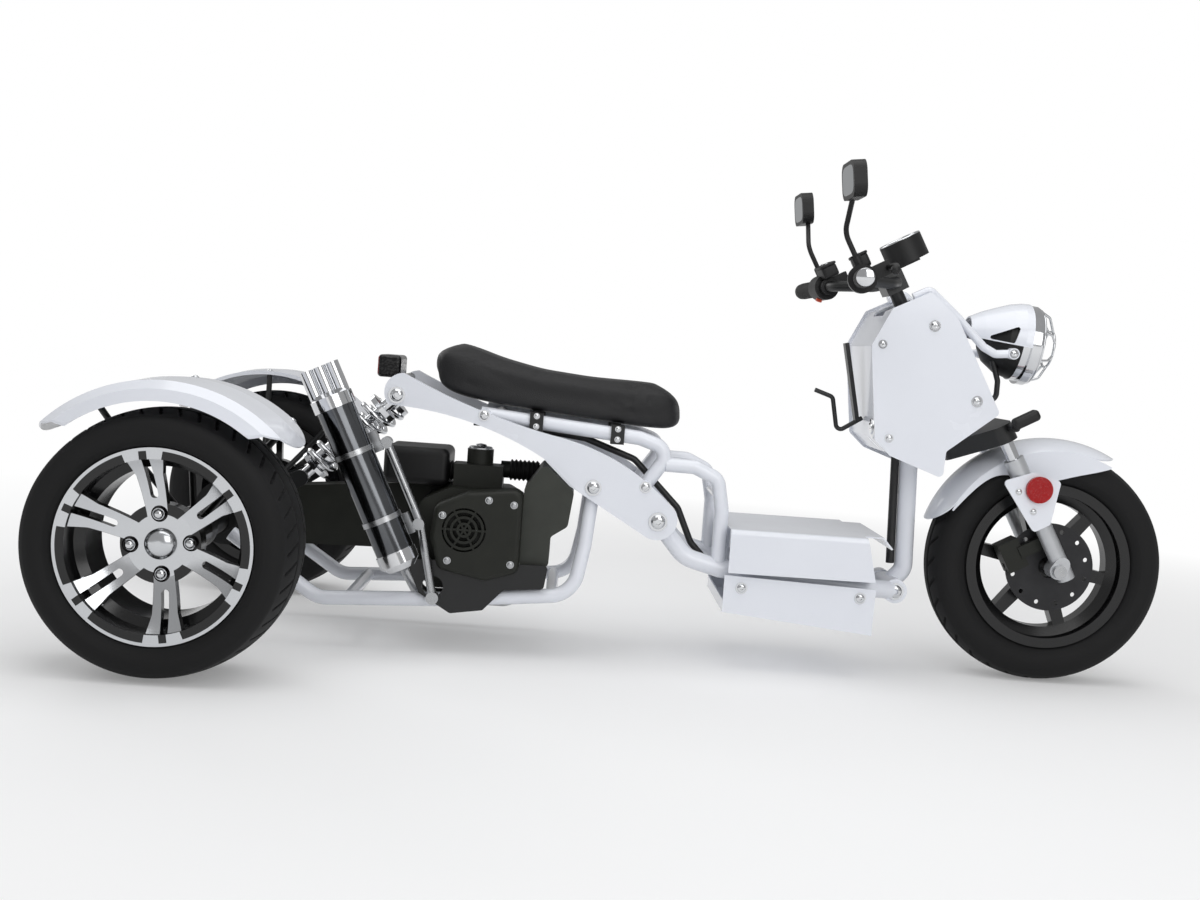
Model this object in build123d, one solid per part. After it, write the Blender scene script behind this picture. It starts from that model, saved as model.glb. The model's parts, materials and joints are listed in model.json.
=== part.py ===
from build123d import *
import math
import os

# Trike scooter: one steered front wheel, an open-framed middle with a long seat,
# and a rear module that carries the engine, the axle and two wide rear wheels.
# Frame: X forward, Y to the rider's left, Z up, millimetres.
# The origin lies on the ground under the middle of the whole machine.

# Driving dimensions of the whole machine
WHEELBASE = 1650.0
OVERALL_WIDTH = 1100.0
FIT = 0.3                   # running or seating clearance between round faces

# Front wheel, size 120/70-12
FRONT_TYRE_D = 473.0
FRONT_TYRE_W = 120.0
FRONT_TREAD_W = 92.0
FRONT_RIM_W = 84.0
# Rear wheels, size 215/35-12
REAR_TYRE_D = 457.0
REAR_TYRE_W = 215.0
REAR_TREAD_W = 186.0
REAR_RIM_W = 168.0
BEAD_R = 152.4
LIP_H = 13.0
LIP_T = 6.0
RIM_WALL = 6.0
TYRE_WALL = 10.0

# Places of the two axles
REAR_X = -(WHEELBASE + FRONT_TYRE_D / 2 - REAR_TYRE_D / 2) / 2
FRONT_X = REAR_X + WHEELBASE
REAR_Z = REAR_TYRE_D / 2
FRONT_Z = FRONT_TYRE_D / 2
REAR_WHEEL_Y = (OVERALL_WIDTH - REAR_TYRE_W) / 2

# Steering: raked axis and ground trail
RAKE = 29.0
TRAIL = 79.0
FORK_OFFSET = 58.0          # fork legs ahead of the steering axis
FORK_Y = 92.0
SLIDER_D = 34.0
AXLE_LUG_W = 36.0
STANCHION_D = 27.0
STEM_D = 28.0
HEAD_TUBE_D = 48.0
HANDLEBAR_D = 22.2

# Frame tubes and plates
DOWN_TUBE_D = 37.0
RAIL_D = 36.0
RAIL_Y = 108.0
SEAT_TUBE_D = 28.0
CRADLE_D = 28.0
CRADLE_Y = 145.0
ARM_T = 12.0
ARM_Y = 130.0               # inner face of a side arm
BODY_HALF_W = 126.0         # half the width of the front box between its panels
PANEL_T = 4.0
SHEET_T = 3.0

STEER = Plane(
    origin=(FRONT_X + TRAIL, 0, 0),
    x_dir=(math.cos(math.radians(RAKE)), 0, math.sin(math.radians(RAKE))),
    z_dir=(-math.sin(math.radians(RAKE)), 0, math.cos(math.radians(RAKE))),
)
# Along the steering axis, measured up from the ground
AXLE_S = TRAIL * math.sin(math.radians(RAKE)) + FRONT_Z * math.cos(math.radians(RAKE))
AXLE_T = FRONT_Z * math.sin(math.radians(RAKE)) - TRAIL * math.cos(math.radians(RAKE))
COLLAR_S = 444.0
COLLAR_TOP_S = 482.0
YOKE_S = 520.0
YOKE_TOP_S = 555.0
HEAD_LOW_S = 584.0
HEAD_TOP_S = 806.0
BAR_S = 892.0

nodes = {}


def side_plane(y):
    """Drawing plane seen from the right: local x is X, local y is Z."""
    return Plane(origin=(0, y, 0), x_dir=(1, 0, 0), z_dir=(0, -1, 0))


def outline(points, radius=0.0):
    """Closed face through corner points, every corner rounded alike."""
    face = make_face(Polyline(*points, close=True))
    if radius > 0:
        face = fillet(face.vertices(), radius)
    return face


def plate(face, y_low, y_high):
    """A face drawn in the side view, thick from y_low to y_high."""
    return extrude(side_plane(y_high) * face, amount=y_high - y_low)


def rod_y(x, z, y_low, y_high, radius):
    """Round bar across the machine."""
    return plate(Pos(x, z) * Circle(radius), y_low, y_high)


def tube(points, diameter, bend=40.0):
    """Bar bent along straight runs with tangent arcs at the corners."""
    path = FilletPolyline(*points, radius=bend) if len(points) > 2 else Line(*points)
    return sweep(Plane(origin=path @ 0, z_dir=path % 0) * Circle(diameter / 2), path=path)


def turned(profile):
    """Solid of revolution about Y from a closed face drawn as (radius, y)."""
    return revolve(profile, axis=Axis.Y)


def turned_x(points):
    """Solid of revolution about X from corner points (x, radius)."""
    return revolve(make_face(Polyline(*points, close=True)), axis=Axis.X)


def left_of(shape):
    """The twin piece on the rider's left."""
    return mirror(shape, about=Plane.XZ)


def pair(shape):
    """A right-hand piece and its left-hand twin."""
    return Compound(children=[shape, left_of(shape)])


# Wheels


def tyre(outer_r, width, tread_w, rim_w):
    """Hollow tyre: beads, sidewalls and a crowned tread."""
    flange_r = BEAD_R + LIP_H + 1.0
    shoulder_r = outer_r - 11.0
    waist_r = (flange_r + shoulder_r) / 2
    seat = rim_w / 2
    half = width / 2
    tread = tread_w / 2
    inner_shoulder = tread - TYRE_WALL * 0.7
    outer_edge = Polyline((BEAD_R, seat - TYRE_WALL), (BEAD_R, seat), (flange_r, seat))
    wall = ThreePointArc((flange_r, seat), (waist_r, half), (shoulder_r, tread))
    crown = ThreePointArc((shoulder_r, tread), (outer_r, 0), (shoulder_r, -tread))
    wall_low = ThreePointArc((shoulder_r, -tread), (waist_r, -half), (flange_r, -seat))
    low_edge = Polyline((flange_r, -seat), (BEAD_R, -seat), (BEAD_R, -seat + TYRE_WALL))
    inner = [
        Line((BEAD_R, -seat + TYRE_WALL), (flange_r, -seat + TYRE_WALL)),
        ThreePointArc(
            (flange_r, -seat + TYRE_WALL),
            (waist_r, -half + TYRE_WALL),
            (shoulder_r - TYRE_WALL, -inner_shoulder),
        ),
        ThreePointArc(
            (shoulder_r - TYRE_WALL, -inner_shoulder),
            (outer_r - TYRE_WALL * 1.2, 0),
            (shoulder_r - TYRE_WALL, inner_shoulder),
        ),
        ThreePointArc(
            (shoulder_r - TYRE_WALL, inner_shoulder),
            (waist_r, half - TYRE_WALL),
            (flange_r, seat - TYRE_WALL),
        ),
        Line((flange_r, seat - TYRE_WALL), (BEAD_R, seat - TYRE_WALL)),
    ]
    return turned(make_face([outer_edge, wall, crown, wall_low, low_edge, *inner]))


def rim_barrel(rim_w, well_depth, well_out):
    """Rim ring with two flanges, bead seats and a drop centre that starts at y = well_out."""
    seat = rim_w / 2
    lip = seat + LIP_T
    seat_r = BEAD_R - FIT
    well_r = seat_r - well_depth
    well_in = seat - 26.0
    points = [
        (seat_r, seat + FIT),
        (BEAD_R + LIP_H, seat + FIT),
        (BEAD_R + LIP_H, lip),
        (seat_r - RIM_WALL, lip),
        (well_r - RIM_WALL, well_in),
        (well_r - RIM_WALL, well_out),
        (seat_r - RIM_WALL, well_out - 10.0),
        (seat_r - RIM_WALL, -lip),
        (BEAD_R + LIP_H, -lip),
        (BEAD_R + LIP_H, -seat - FIT),
        (seat_r, -seat - FIT),
        (seat_r, well_out - 10.0),
        (well_r, well_out),
        (well_r, well_in),
        (seat_r, seat - 16.0),
    ]
    return turned(outline(points))


def ring_copies(shape, count, start):
    """Copies of a piece about the Y axis, the first at angle start."""
    return [Rot(0, start + 360.0 / count * i, 0) * shape for i in range(count)]


# Rear wheel: outer face towards -Y on the right-hand side
REAR_SPOKES = 6
REAR_FACE_Y = -42.0         # outer face of the hub from the wheel's middle, deep inside the lip
SPOKE_T = 18.0
SPOKE_TURN = 38.9           # the first spoke's turn from level
SPOKE_DISH = [(46.0, -41.0), (106.0, -55.0), (149.0, -81.0)]     # radius and y along a spoke's outer face
SPOKE_HALF = [(44.0, 17.0), (118.0, 22.0), (151.0, 32.0)]        # radius and half width of a spoke
SLOT_IN_R = 84.0
SLOT_HALF = 6.5
HUB_R = 68.0
LUG_COUNT = 4
LUG_CIRCLE_R = 50.8
LUG_R = 10.0
CAP_R = 26.0
STUB_R = 15.0
AXLE_HOUSING_R = 30.0
AXLE_HOUSING_END = 300.0


def rear_rim():
    """Right-hand rear wheel: barrel, six split spokes, hub, cap, nuts and stub shaft."""
    front_edge = ThreePointArc(*SPOKE_DISH)
    back = [(r, y + SPOKE_T) for r, y in reversed(SPOKE_DISH)]
    back_edge = ThreePointArc(*back)
    dish = make_face([front_edge, Line(SPOKE_DISH[2], back[0]), back_edge, Line(back[2], SPOKE_DISH[0])])
    spoke = outline([(r, -half) for r, half in SPOKE_HALF] + [(r, half) for r, half in reversed(SPOKE_HALF)])
    slot_out = SPOKE_HALF[-1][0] + 1
    slot = Pos((SLOT_IN_R + slot_out) / 2, 0) * Rectangle(slot_out - SLOT_IN_R, 2 * SLOT_HALF)
    slot += Pos(SLOT_IN_R, 0) * Circle(SLOT_HALF)
    star = Sketch()
    for i in range(REAR_SPOKES):
        star += Rot(0, 0, SPOKE_TURN + 360.0 / REAR_SPOKES * i) * (spoke - slot)
    spokes = turned(dish) & plate(star, SPOKE_DISH[2][1] - 10, 0)
    hub = rod_y(0, 0, REAR_FACE_Y, REAR_FACE_Y + 34, HUB_R)
    cap = turned(
        make_face(
            [
                Line((0, REAR_FACE_Y - 16), (0, REAR_FACE_Y + 2)),
                Line((0, REAR_FACE_Y + 2), (CAP_R, REAR_FACE_Y + 2)),
                Line((CAP_R, REAR_FACE_Y + 2), (CAP_R, REAR_FACE_Y - 6)),
                ThreePointArc(
                    (CAP_R, REAR_FACE_Y - 6), (CAP_R * 0.7, REAR_FACE_Y - 12.5), (6, REAR_FACE_Y - 16)
                ),
                Line((6, REAR_FACE_Y - 16), (0, REAR_FACE_Y - 16)),
            ]
        )
    )
    inner_end = REAR_WHEEL_Y - AXLE_HOUSING_END - 4.0
    carrier = rod_y(0, 0, REAR_FACE_Y + 30, inner_end, 42.0)
    stub = rod_y(0, 0, inner_end - 1, inner_end + 60, STUB_R)
    rim = rim_barrel(REAR_RIM_W, 16.0, -30.0)
    for piece in [spokes, hub, carrier, stub]:
        rim += piece
    for nut in range(LUG_COUNT):
        angle = math.radians(360 / LUG_COUNT * nut + 5)
        x, z = LUG_CIRCLE_R * math.cos(angle), LUG_CIRCLE_R * math.sin(angle)
        rim -= rod_y(x, z, REAR_FACE_Y - 20, REAR_FACE_Y + 12, LUG_R + 4)
        rim += rod_y(x, z, REAR_FACE_Y - 6, REAR_FACE_Y + 13, LUG_R)
    return rim + cap


rear_tyre = tyre(REAR_TYRE_D / 2, REAR_TYRE_W, REAR_TREAD_W, REAR_RIM_W)
rear_place = Pos(REAR_X, -REAR_WHEEL_Y, REAR_Z)
nodes["rear_tyre_right"] = rear_place * rear_tyre
nodes["rear_rim_right"] = rear_place * rear_rim()
nodes["rear_tyre_left"] = left_of(nodes["rear_tyre_right"])
nodes["rear_rim_left"] = left_of(nodes["rear_rim_right"])

# Front wheel: six plain spokes, brake disc on the right
FRONT_SPOKES = 6
FRONT_HUB_R = 38.0
FRONT_AXLE_R = 6.0
DISC_R = 88.0
DISC_T = 4.0
DISC_Y = -52.0


def front_rim():
    """Cast front wheel with a hub bored for its axle."""
    rim = rim_barrel(FRONT_RIM_W, 18.0, -16.0)
    arm = outline([(FRONT_HUB_R - 8, -15), (BEAD_R - 20, -12), (BEAD_R - 20, 12), (FRONT_HUB_R - 8, 15)])
    rim += rod_y(0, 0, -46, 46, FRONT_HUB_R)
    for spoke in ring_copies(plate(arm, -16, 16), FRONT_SPOKES, 10.0):
        rim += spoke
    return rim - rod_y(0, 0, -60, 60, FRONT_AXLE_R + FIT)


def brake_disc():
    """Drilled disc on the right face of the front hub."""
    disc = rod_y(0, 0, DISC_Y - DISC_T / 2, DISC_Y + DISC_T / 2, DISC_R)
    disc -= rod_y(0, 0, DISC_Y - DISC_T, DISC_Y + DISC_T, 22.0)
    hole = rod_y(DISC_R - 14, 0, DISC_Y - DISC_T, DISC_Y + DISC_T, 4.5)
    for drilled in ring_copies(hole, 12, 15.0):
        disc -= drilled
    return disc + (
        rod_y(0, 0, DISC_Y - DISC_T / 2, -46, 30.0) - rod_y(0, 0, -70, -40, 22.0)
    )


front_place = Pos(FRONT_X, 0, FRONT_Z)
nodes["front_tyre"] = front_place * tyre(FRONT_TYRE_D / 2, FRONT_TYRE_W, FRONT_TREAD_W, FRONT_RIM_W)
nodes["front_rim"] = front_place * front_rim()
nodes["front_brake_disc"] = front_place * brake_disc()

# Fork and steering, drawn in the steering frame: x ahead of the axis, z along it


def steer_bar(t, y, s_low, s_high, radius):
    """Round bar along the steering axis."""
    return Pos(t, y, s_low) * Cylinder(radius, s_high - s_low, align=(Align.CENTER, Align.CENTER, Align.MIN))


def fork_slider():
    """Right lower leg: tube, dust collar and axle lug behind it."""
    leg = steer_bar(FORK_OFFSET, -FORK_Y, AXLE_S - 26, COLLAR_S, SLIDER_D / 2)
    leg += steer_bar(FORK_OFFSET, -FORK_Y, COLLAR_S, COLLAR_TOP_S, SLIDER_D / 2 + 3)
    lug = extrude(
        side_plane(-FORK_Y + AXLE_LUG_W / 2)
        * make_hull(
            (Pos(AXLE_T, AXLE_S) * Circle(17)).edges()
            + (Pos(FORK_OFFSET, AXLE_S + 8) * Circle(15)).edges()
        ),
        amount=AXLE_LUG_W,
    )
    leg += lug
    leg -= steer_bar(FORK_OFFSET, -FORK_Y, COLLAR_S - 40, COLLAR_TOP_S + 1, STANCHION_D / 2 + FIT)
    axle_hole = extrude(
        side_plane(0)
        * Pos(AXLE_T, AXLE_S) * Circle(FRONT_AXLE_R + FIT),
        amount=200,
    )
    return leg - axle_hole


nodes["fork_sliders"] = pair(STEER * fork_slider())
stanchion = steer_bar(FORK_OFFSET, -FORK_Y, COLLAR_S - 38, YOKE_TOP_S - 4, STANCHION_D / 2)
nodes["fork_stanchions"] = pair(STEER * stanchion)


def fork_yoke():
    """Lower yoke with the steering stem and the bar clamp on top."""
    bridge = make_hull(
        (Pos(FORK_OFFSET, -FORK_Y) * Circle(24)).edges()
        + (Pos(FORK_OFFSET, FORK_Y) * Circle(24)).edges()
        + (Pos(-14, 0) * Circle(32)).edges()
    )
    yoke = extrude(Pos(0, 0, YOKE_S) * bridge, amount=YOKE_TOP_S - YOKE_S)
    for side in (-1, 1):
        socket_r = STANCHION_D / 2 + FIT
        yoke -= steer_bar(FORK_OFFSET, side * FORK_Y, YOKE_S - 1, YOKE_TOP_S - 4 + FIT, socket_r)
    yoke += steer_bar(0, 0, YOKE_S, BAR_S - 14, STEM_D / 2)
    clamp = Pos(0, 0, BAR_S) * Box(44, 64, 40)
    yoke += clamp
    bore = Pos(0, 0, BAR_S) * Rot(90, 0, 0) * Cylinder(HANDLEBAR_D / 2 + FIT, 120)
    return yoke - bore


nodes["fork_yoke"] = STEER * fork_yoke()

# Handlebar: swept back and up from the clamp, points (ahead, left, along the axis)
BAR_END = (-113.0, -340.0, 940.0)
BAR_PATH = [BAR_END, (-84.0, -150.0, 931.0), (-20.0, -84.0, 897.0), (0.0, -50.0, BAR_S)]
BAR_BENDS = [60.0, 34.0, 34.0, 34.0, 34.0, 60.0]
GRIP_LEN = 112.0
GRIP_R = 17.0


def mirrored_path(points):
    """The path from one end of the bar to the other."""
    return points + [(t, -y, s) for t, y, s in reversed(points)]


handlebar = tube(mirrored_path(BAR_PATH), HANDLEBAR_D, BAR_BENDS)
nodes["handlebar"] = STEER * handlebar
bar_dir = (Vector(*BAR_PATH[1]) - Vector(*BAR_END)).normalized()


def on_bar(distance):
    """Plane across the straight outer stretch of the bar, distance in from its right end."""
    return Plane(origin=Vector(*BAR_END) + bar_dir * distance, z_dir=bar_dir)


def bar_sleeve(start, end, radius):
    """Ring fitted round the outer stretch of the bar."""
    face = on_bar(start) * (Circle(radius) - Circle(HANDLEBAR_D / 2 + FIT))
    return extrude(face, amount=end - start)


grip = bar_sleeve(0, GRIP_LEN, GRIP_R)
grip += extrude(on_bar(0) * Circle(GRIP_R), amount=-9)
nodes["grips"] = pair(STEER * grip)


def control_pod():
    """Switch housing, brake lever and mirror boss beside the right grip."""
    pod = bar_sleeve(GRIP_LEN + 1, GRIP_LEN + 46, 27.0)
    middle = on_bar(GRIP_LEN + 24).origin
    perch = Pos(middle.X + 34, middle.Y, middle.Z) * Box(44, 26, 26)
    pod += perch
    pod += Pos(middle.X + 6, middle.Y, middle.Z + 30) * Cylinder(9, 26)
    lever = tube(
        [
            (middle.X + 48, middle.Y + 4, middle.Z),
            (middle.X + 58, middle.Y - 50, middle.Z - 2),
            (middle.X + 30, middle.Y - 150, middle.Z - 4),
        ],
        11.0,
        60.0,
    )
    pod += lever
    pod += Pos(middle.X + 30, middle.Y - 150, middle.Z - 4) * Sphere(9)
    return pod - extrude(on_bar(GRIP_LEN) * Circle(HANDLEBAR_D / 2 + FIT), amount=60)


nodes["control_pods"] = pair(STEER * control_pod())

MIRROR_W = 116.0
MIRROR_H = 66.0
MIRROR_D = 24.0
MIRROR_REACH = Vector(44.5, -56.3, 158.4)   # from the bar under the stalk to the stalk's top


def mirror_arm():
    """Right mirror: stalk from the pod's boss and a tilted oblong head."""
    root = on_bar(GRIP_LEN + 24).origin
    foot = (root.X + 6, root.Y, root.Z + 43 + FIT)
    top = root + MIRROR_REACH
    stalk = tube([foot, (root.X + 6, root.Y, root.Z + 92), top], 10.0, 40.0)
    head = Box(MIRROR_D, MIRROR_W, MIRROR_H)
    head = fillet(head.edges().filter_by(Axis.X), 22.0)
    return stalk + Pos(top + Vector(0, -20, 12)) * Rot(0, 22, 0) * head


nodes["mirrors"] = pair(STEER * mirror_arm())

GAUGE_R = 43.0
GAUGE_T = 49.0
GAUGE_H = 46.0


def gauge():
    """Round instrument on a bracket ahead of the bar clamp."""
    bracket = Pos(30, 0, BAR_S + 23) * Box(74, 40, 6)
    return bracket + steer_bar(GAUGE_T, 0, BAR_S + 25, BAR_S + 25 + GAUGE_H, GAUGE_R)


nodes["gauge"] = STEER * gauge()

# Front axle and what the fork legs carry
axle = extrude(
    side_plane(FORK_Y + 24)
    * Pos(AXLE_T, AXLE_S) * Circle(FRONT_AXLE_R),
    amount=2 * (FORK_Y + 24),
)
for side in (-1, 1):
    nut = Pos(AXLE_T, side * (FORK_Y + AXLE_LUG_W / 2 + 6 + FIT), AXLE_S) * Rot(90, 0, 0) * Cylinder(13, 12)
    axle += nut
for side in (-1, 1):
    low, high = sorted((side * (46 + FIT), side * (FORK_Y - AXLE_LUG_W / 2 - FIT)))
    axle += extrude(
        side_plane(high)
        * Pos(AXLE_T, AXLE_S) * Circle(11),
        amount=high - low,
    )
nodes["front_axle"] = STEER * axle

BRACKET_Y = FORK_Y + SLIDER_D / 2 + 3 + FIT
BRACKET_T = 4.0


def fork_bracket():
    """White triangular plate on the right leg, holding the fender and the reflector."""
    face = outline([(16, 456), (78, 446), (120, 406), (104, 386), (66, 338), (30, 338)], 8.0)
    return extrude(side_plane(-BRACKET_Y) * face, amount=BRACKET_T)


nodes["fork_brackets"] = pair(STEER * fork_bracket())
REFLECTOR_AT = (73.0, 411.0)        # ahead of the axis, along it
REFLECTOR_R = 26.0
REFLECTOR_T = 8.0
reflector_face = Pos(*REFLECTOR_AT) * Circle(REFLECTOR_R)
reflector = extrude(side_plane(-BRACKET_Y - BRACKET_T) * reflector_face, amount=REFLECTOR_T)
nodes["reflectors"] = pair(STEER * reflector)

FENDER_GAP = 15.5           # from the tread to the mudguard
FENDER_R = FRONT_TYRE_D / 2 + FENDER_GAP
FENDER_HALF_W = FRONT_TYRE_W / 2 + 8.0
FENDER_ARC = (61.0, 163.0)
FENDER_TIP = 60.0
# Lower edge of the side valance: angle about the axle, drop below the mudguard's edge
VALANCE = [
    (64.0, 4.0), (68.0, 18.0), (78.0, 40.0), (88.0, 54.0), (98.0, 60.0), (112.0, 44.0),
    (124.0, 18.0), (140.0, 10.0), (154.0, 3.0),
]


def beyond_tip(axle, angle, rearward, y_mid, length, half_width, radius):
    """What lies past a mudguard's rounded tip: a block less half an ellipse, along the radius."""
    turn = math.radians(angle)
    radial = Vector(math.cos(turn), 0, math.sin(turn))
    outward = Vector(-math.sin(turn), 0, math.cos(turn)) * (1 if rearward else -1)
    inside = Vector(axle[0], y_mid, axle[1]) + radial * (radius - 90)
    place = Plane(origin=inside, x_dir=outward, z_dir=radial)
    block = Pos((80 - length) / 2, 0) * Rectangle(80 + length, 2 * half_width + 20)
    return extrude(place * (block - Pos(-length, 0) * Ellipse(length, half_width)), amount=150)


def front_fender():
    """Crowned mudguard over the front tyre, rounded at both tips."""
    outer = make_face(
        [
            ThreePointArc(
                (FENDER_R - 18, -FENDER_HALF_W), (FENDER_R + 4, 0), (FENDER_R - 18, FENDER_HALF_W)
            ),
            Line((FENDER_R - 18, FENDER_HALF_W), (FENDER_R - 18 - SHEET_T, FENDER_HALF_W)),
            ThreePointArc(
                (FENDER_R - 18 - SHEET_T, FENDER_HALF_W),
                (FENDER_R + 4 - SHEET_T, 0),
                (FENDER_R - 18 - SHEET_T, -FENDER_HALF_W),
            ),
            Line((FENDER_R - 18 - SHEET_T, -FENDER_HALF_W), (FENDER_R - 18, -FENDER_HALF_W)),
        ]
    )
    shell = revolve(outer, axis=Axis.Y, revolution_arc=FENDER_ARC[1] - FENDER_ARC[0])
    shell = front_place * Rot(0, -FENDER_ARC[1], 0) * shell
    for angle, rearward in zip(FENDER_ARC, (False, True)):
        shell -= beyond_tip((FRONT_X, FRONT_Z), angle, rearward, 0, FENDER_TIP, FENDER_HALF_W, FENDER_R)
    edge_r = FENDER_R - 18 - SHEET_T / 2
    low = [Vector(edge_r - drop, 0).rotate(Axis.Z, angle) for angle, drop in VALANCE]
    rim = [Vector(edge_r, 0).rotate(Axis.Z, VALANCE[i][0]) for i in (-1, 4, 0)]
    web = make_face([Spline(*low), Line(low[-1], rim[0]), ThreePointArc(*rim), Line(rim[2], low[0])])
    web = plate(Pos(FRONT_X, FRONT_Z) * web, -FENDER_HALF_W - 0.5, -FENDER_HALF_W - 0.5 + SHEET_T)
    shell += web + left_of(web)
    collar_face = FORK_Y - SLIDER_D / 2 - 3 - FIT
    ear_s = AXLE_S + math.sqrt(edge_r**2 - (FORK_OFFSET - AXLE_T) ** 2)
    for side in (-1, 1):
        ear_in = FENDER_HALF_W - 2
        ear_y = side * (ear_in + collar_face) / 2
        shell += STEER * (Pos(FORK_OFFSET, ear_y, ear_s - 8) * Box(26, collar_face - ear_in, 30))
    return shell


nodes["front_fender"] = front_fender()

caliper = Pos(AXLE_T - 60, DISC_Y, AXLE_S + 56) * Box(42, 42, 60)
caliper += Pos(AXLE_T - 17, -FORK_Y + SLIDER_D / 2 + 7, AXLE_S + 56) * Box(60, 16, 24)
caliper -= Pos(AXLE_T, DISC_Y, AXLE_S) * Rot(90, 0, 0) * Cylinder(DISC_R + 5, DISC_T + 10)
caliper -= steer_bar(FORK_OFFSET, -FORK_Y, AXLE_S, COLLAR_S, SLIDER_D / 2 + FIT)
nodes["front_caliper"] = STEER * caliper

indicator = Pos(94, -158, YOKE_TOP_S) * Box(54, 26, 22)
indicator = fillet(indicator.edges(), 8.0)
stalk = Pos(FORK_OFFSET + 14, -133, YOKE_TOP_S - 9) * Rot(90, 0, 0) * Cylinder(7, 42)
stalk -= steer_bar(FORK_OFFSET, -FORK_Y, YOKE_S - 1, YOKE_TOP_S + 1, 24 + FIT)
nodes["front_indicators"] = pair(STEER * (indicator + stalk))

# Main frame: head tube, down tube and the cross tubes that hold the front box
PIVOT_X = 510.0
PIVOT_Z = 170.0
PANEL_BOLTS = [(529.6, 697.2), (624.0, 558.0)]

head_tube = STEER * (
    steer_bar(0, 0, HEAD_LOW_S, HEAD_TOP_S, HEAD_TUBE_D / 2)
    - steer_bar(0, 0, HEAD_LOW_S - 1, HEAD_TOP_S + 1, STEM_D / 2 + FIT)
)
down_tube = tube(
    [(578, 0, 572), (533, 0, 430), (541, 0, 205), (PIVOT_X, 0, PIVOT_Z)], DOWN_TUBE_D, 30.0
)
main_frame = down_tube - STEER * steer_bar(0, 0, HEAD_LOW_S - 80, HEAD_TOP_S + 80, HEAD_TUBE_D / 2 - 2)
main_frame += head_tube
main_frame += rod_y(PIVOT_X, PIVOT_Z, -46, 46, 22.0)
for x, z in PANEL_BOLTS:
    bar = rod_y(x, z, -BODY_HALF_W, BODY_HALF_W, 8.0)
    main_frame += bar - STEER * steer_bar(0, 0, HEAD_LOW_S - 80, HEAD_TOP_S + 80, HEAD_TUBE_D / 2 - 2)
nodes["main_frame"] = main_frame

# Front box between the two side panels, open below for the fork and above for the stem
BOX_OUTLINE = [
    (446, 725), (518, 762), (573, 716), (671, 537), (573, 457),
    (571, 404), (465, 441), (433, 470), (411, 652),
]
box_face = outline(BOX_OUTLINE, 9.0)
shell_outer = offset(box_face, -5.0)
shell_inner = offset(box_face, -5.0 - PANEL_T)
front_body = plate(shell_outer, -BODY_HALF_W, BODY_HALF_W) - plate(
    shell_inner, -BODY_HALF_W - 1, BODY_HALF_W + 1
)
front_body -= STEER * (Pos(0, 0, 866) * Box(104, 90, 120))
below = outline([(462, 454), (574, 374), (700, 500), (664, 560), (560, 470), (540, 440)])
front_body -= plate(below, -BODY_HALF_W - 1, BODY_HALF_W + 1)
nodes["front_body"] = front_body
panel = plate(box_face, -BODY_HALF_W - PANEL_T, -BODY_HALF_W)
nodes["body_panels"] = pair(panel)

# Headlight on two bent arms ahead of the box
LAMP_X = 753.0
LAMP_Z = 675.0
LAMP_R = 78.0
LAMP_TILT = 6.0
LAMP_PIVOT = (690.0, 655.0)
LAMP_LUG_Y = 63.1           # lug ends, just off the bowl
BRACKET_TUBE_D = 16.0
BRACKET_TUBE_Y = BODY_HALF_W - 14.0

lamp_place = Pos(LAMP_X, 0, LAMP_Z) * Rot(0, LAMP_TILT, 0)
BOWL = [(-98.0, 26.0), (-84.0, 48.0), (-56.0, 66.0), (-30.0, 72.0)]      # x along the lamp, radius
bowl = turned_x([(BOWL[0][0], 0), *BOWL, (BOWL[-1][0], 0)])
nodes["headlight_bowl"] = lamp_place * bowl
BEZEL_BACK = -14.0
bezel = turned_x(
    [
        (-30 + FIT, 60), (-30 + FIT, LAMP_R - 4), (BEZEL_BACK, LAMP_R - 4), (BEZEL_BACK, LAMP_R + 2),
        (2, LAMP_R + 2), (6, LAMP_R), (6, LAMP_R - 10), (-10, LAMP_R - 10), (-10, LAMP_R - 7),
        (-24, LAMP_R - 7), (-24, 60),
    ]
)
nodes["headlight_bezel"] = lamp_place * bezel

COWL_ARC = 190.0            # how far the cowl reaches round the lamp, from side to side over the top
COWL_WINDOW = [(649.0, 684.0), (716.0, 712.0), (704.0, 676.0)]


def headlight_cowl():
    """Pointed cowl over the lamp: an ogive shell behind the bezel with a three-cornered window each side."""
    front = BEZEL_BACK - FIT
    outer = [(-128, 38), (-104, 52), (-78, 64), (-52, 75), (-28, LAMP_R + 3), (front, LAMP_R + 4)]
    inner = [(x, r - SHEET_T) for x, r in reversed(outer)]
    shell = revolve(make_face(Polyline(*outer, *inner, close=True)), axis=Axis.X, revolution_arc=COWL_ARC)
    shell = lamp_place * Rot(90 - COWL_ARC / 2, 0, 0) * shell
    return shell - plate(outline(COWL_WINDOW, 4.0), -200, 200)


nodes["headlight_cowl"] = headlight_cowl()
lens = turned_x([(-9, 0), (-9, LAMP_R - 10 - FIT), (4, LAMP_R - 10 - FIT), (12, LAMP_R - 30), (15, 0)])
nodes["headlight_lens"] = lamp_place * lens

GUARD_WIRE_R = 2.5


def headlight_guard():
    """Wire cage over the lens: a hoop on the bezel, a front hoop and bent ribs."""
    cage = Rot(0, 90, 0) * Torus(LAMP_R - 4, GUARD_WIRE_R)
    cage = Pos(6 + GUARD_WIRE_R + FIT, 0, 0) * cage
    cage += Pos(42, 0, 0) * Rot(0, 90, 0) * Torus(36, GUARD_WIRE_R)
    rib_points = [(6 + GUARD_WIRE_R, 0, LAMP_R - 4), (26, 0, LAMP_R - 12), (42, 0, 36)]
    rib = tube(rib_points, 2 * GUARD_WIRE_R, 12.0)
    for i in range(8):
        cage += Rot(45 * i + 22.5, 0, 0) * rib
    return cage


nodes["headlight_guard"] = lamp_place * headlight_guard()

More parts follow.
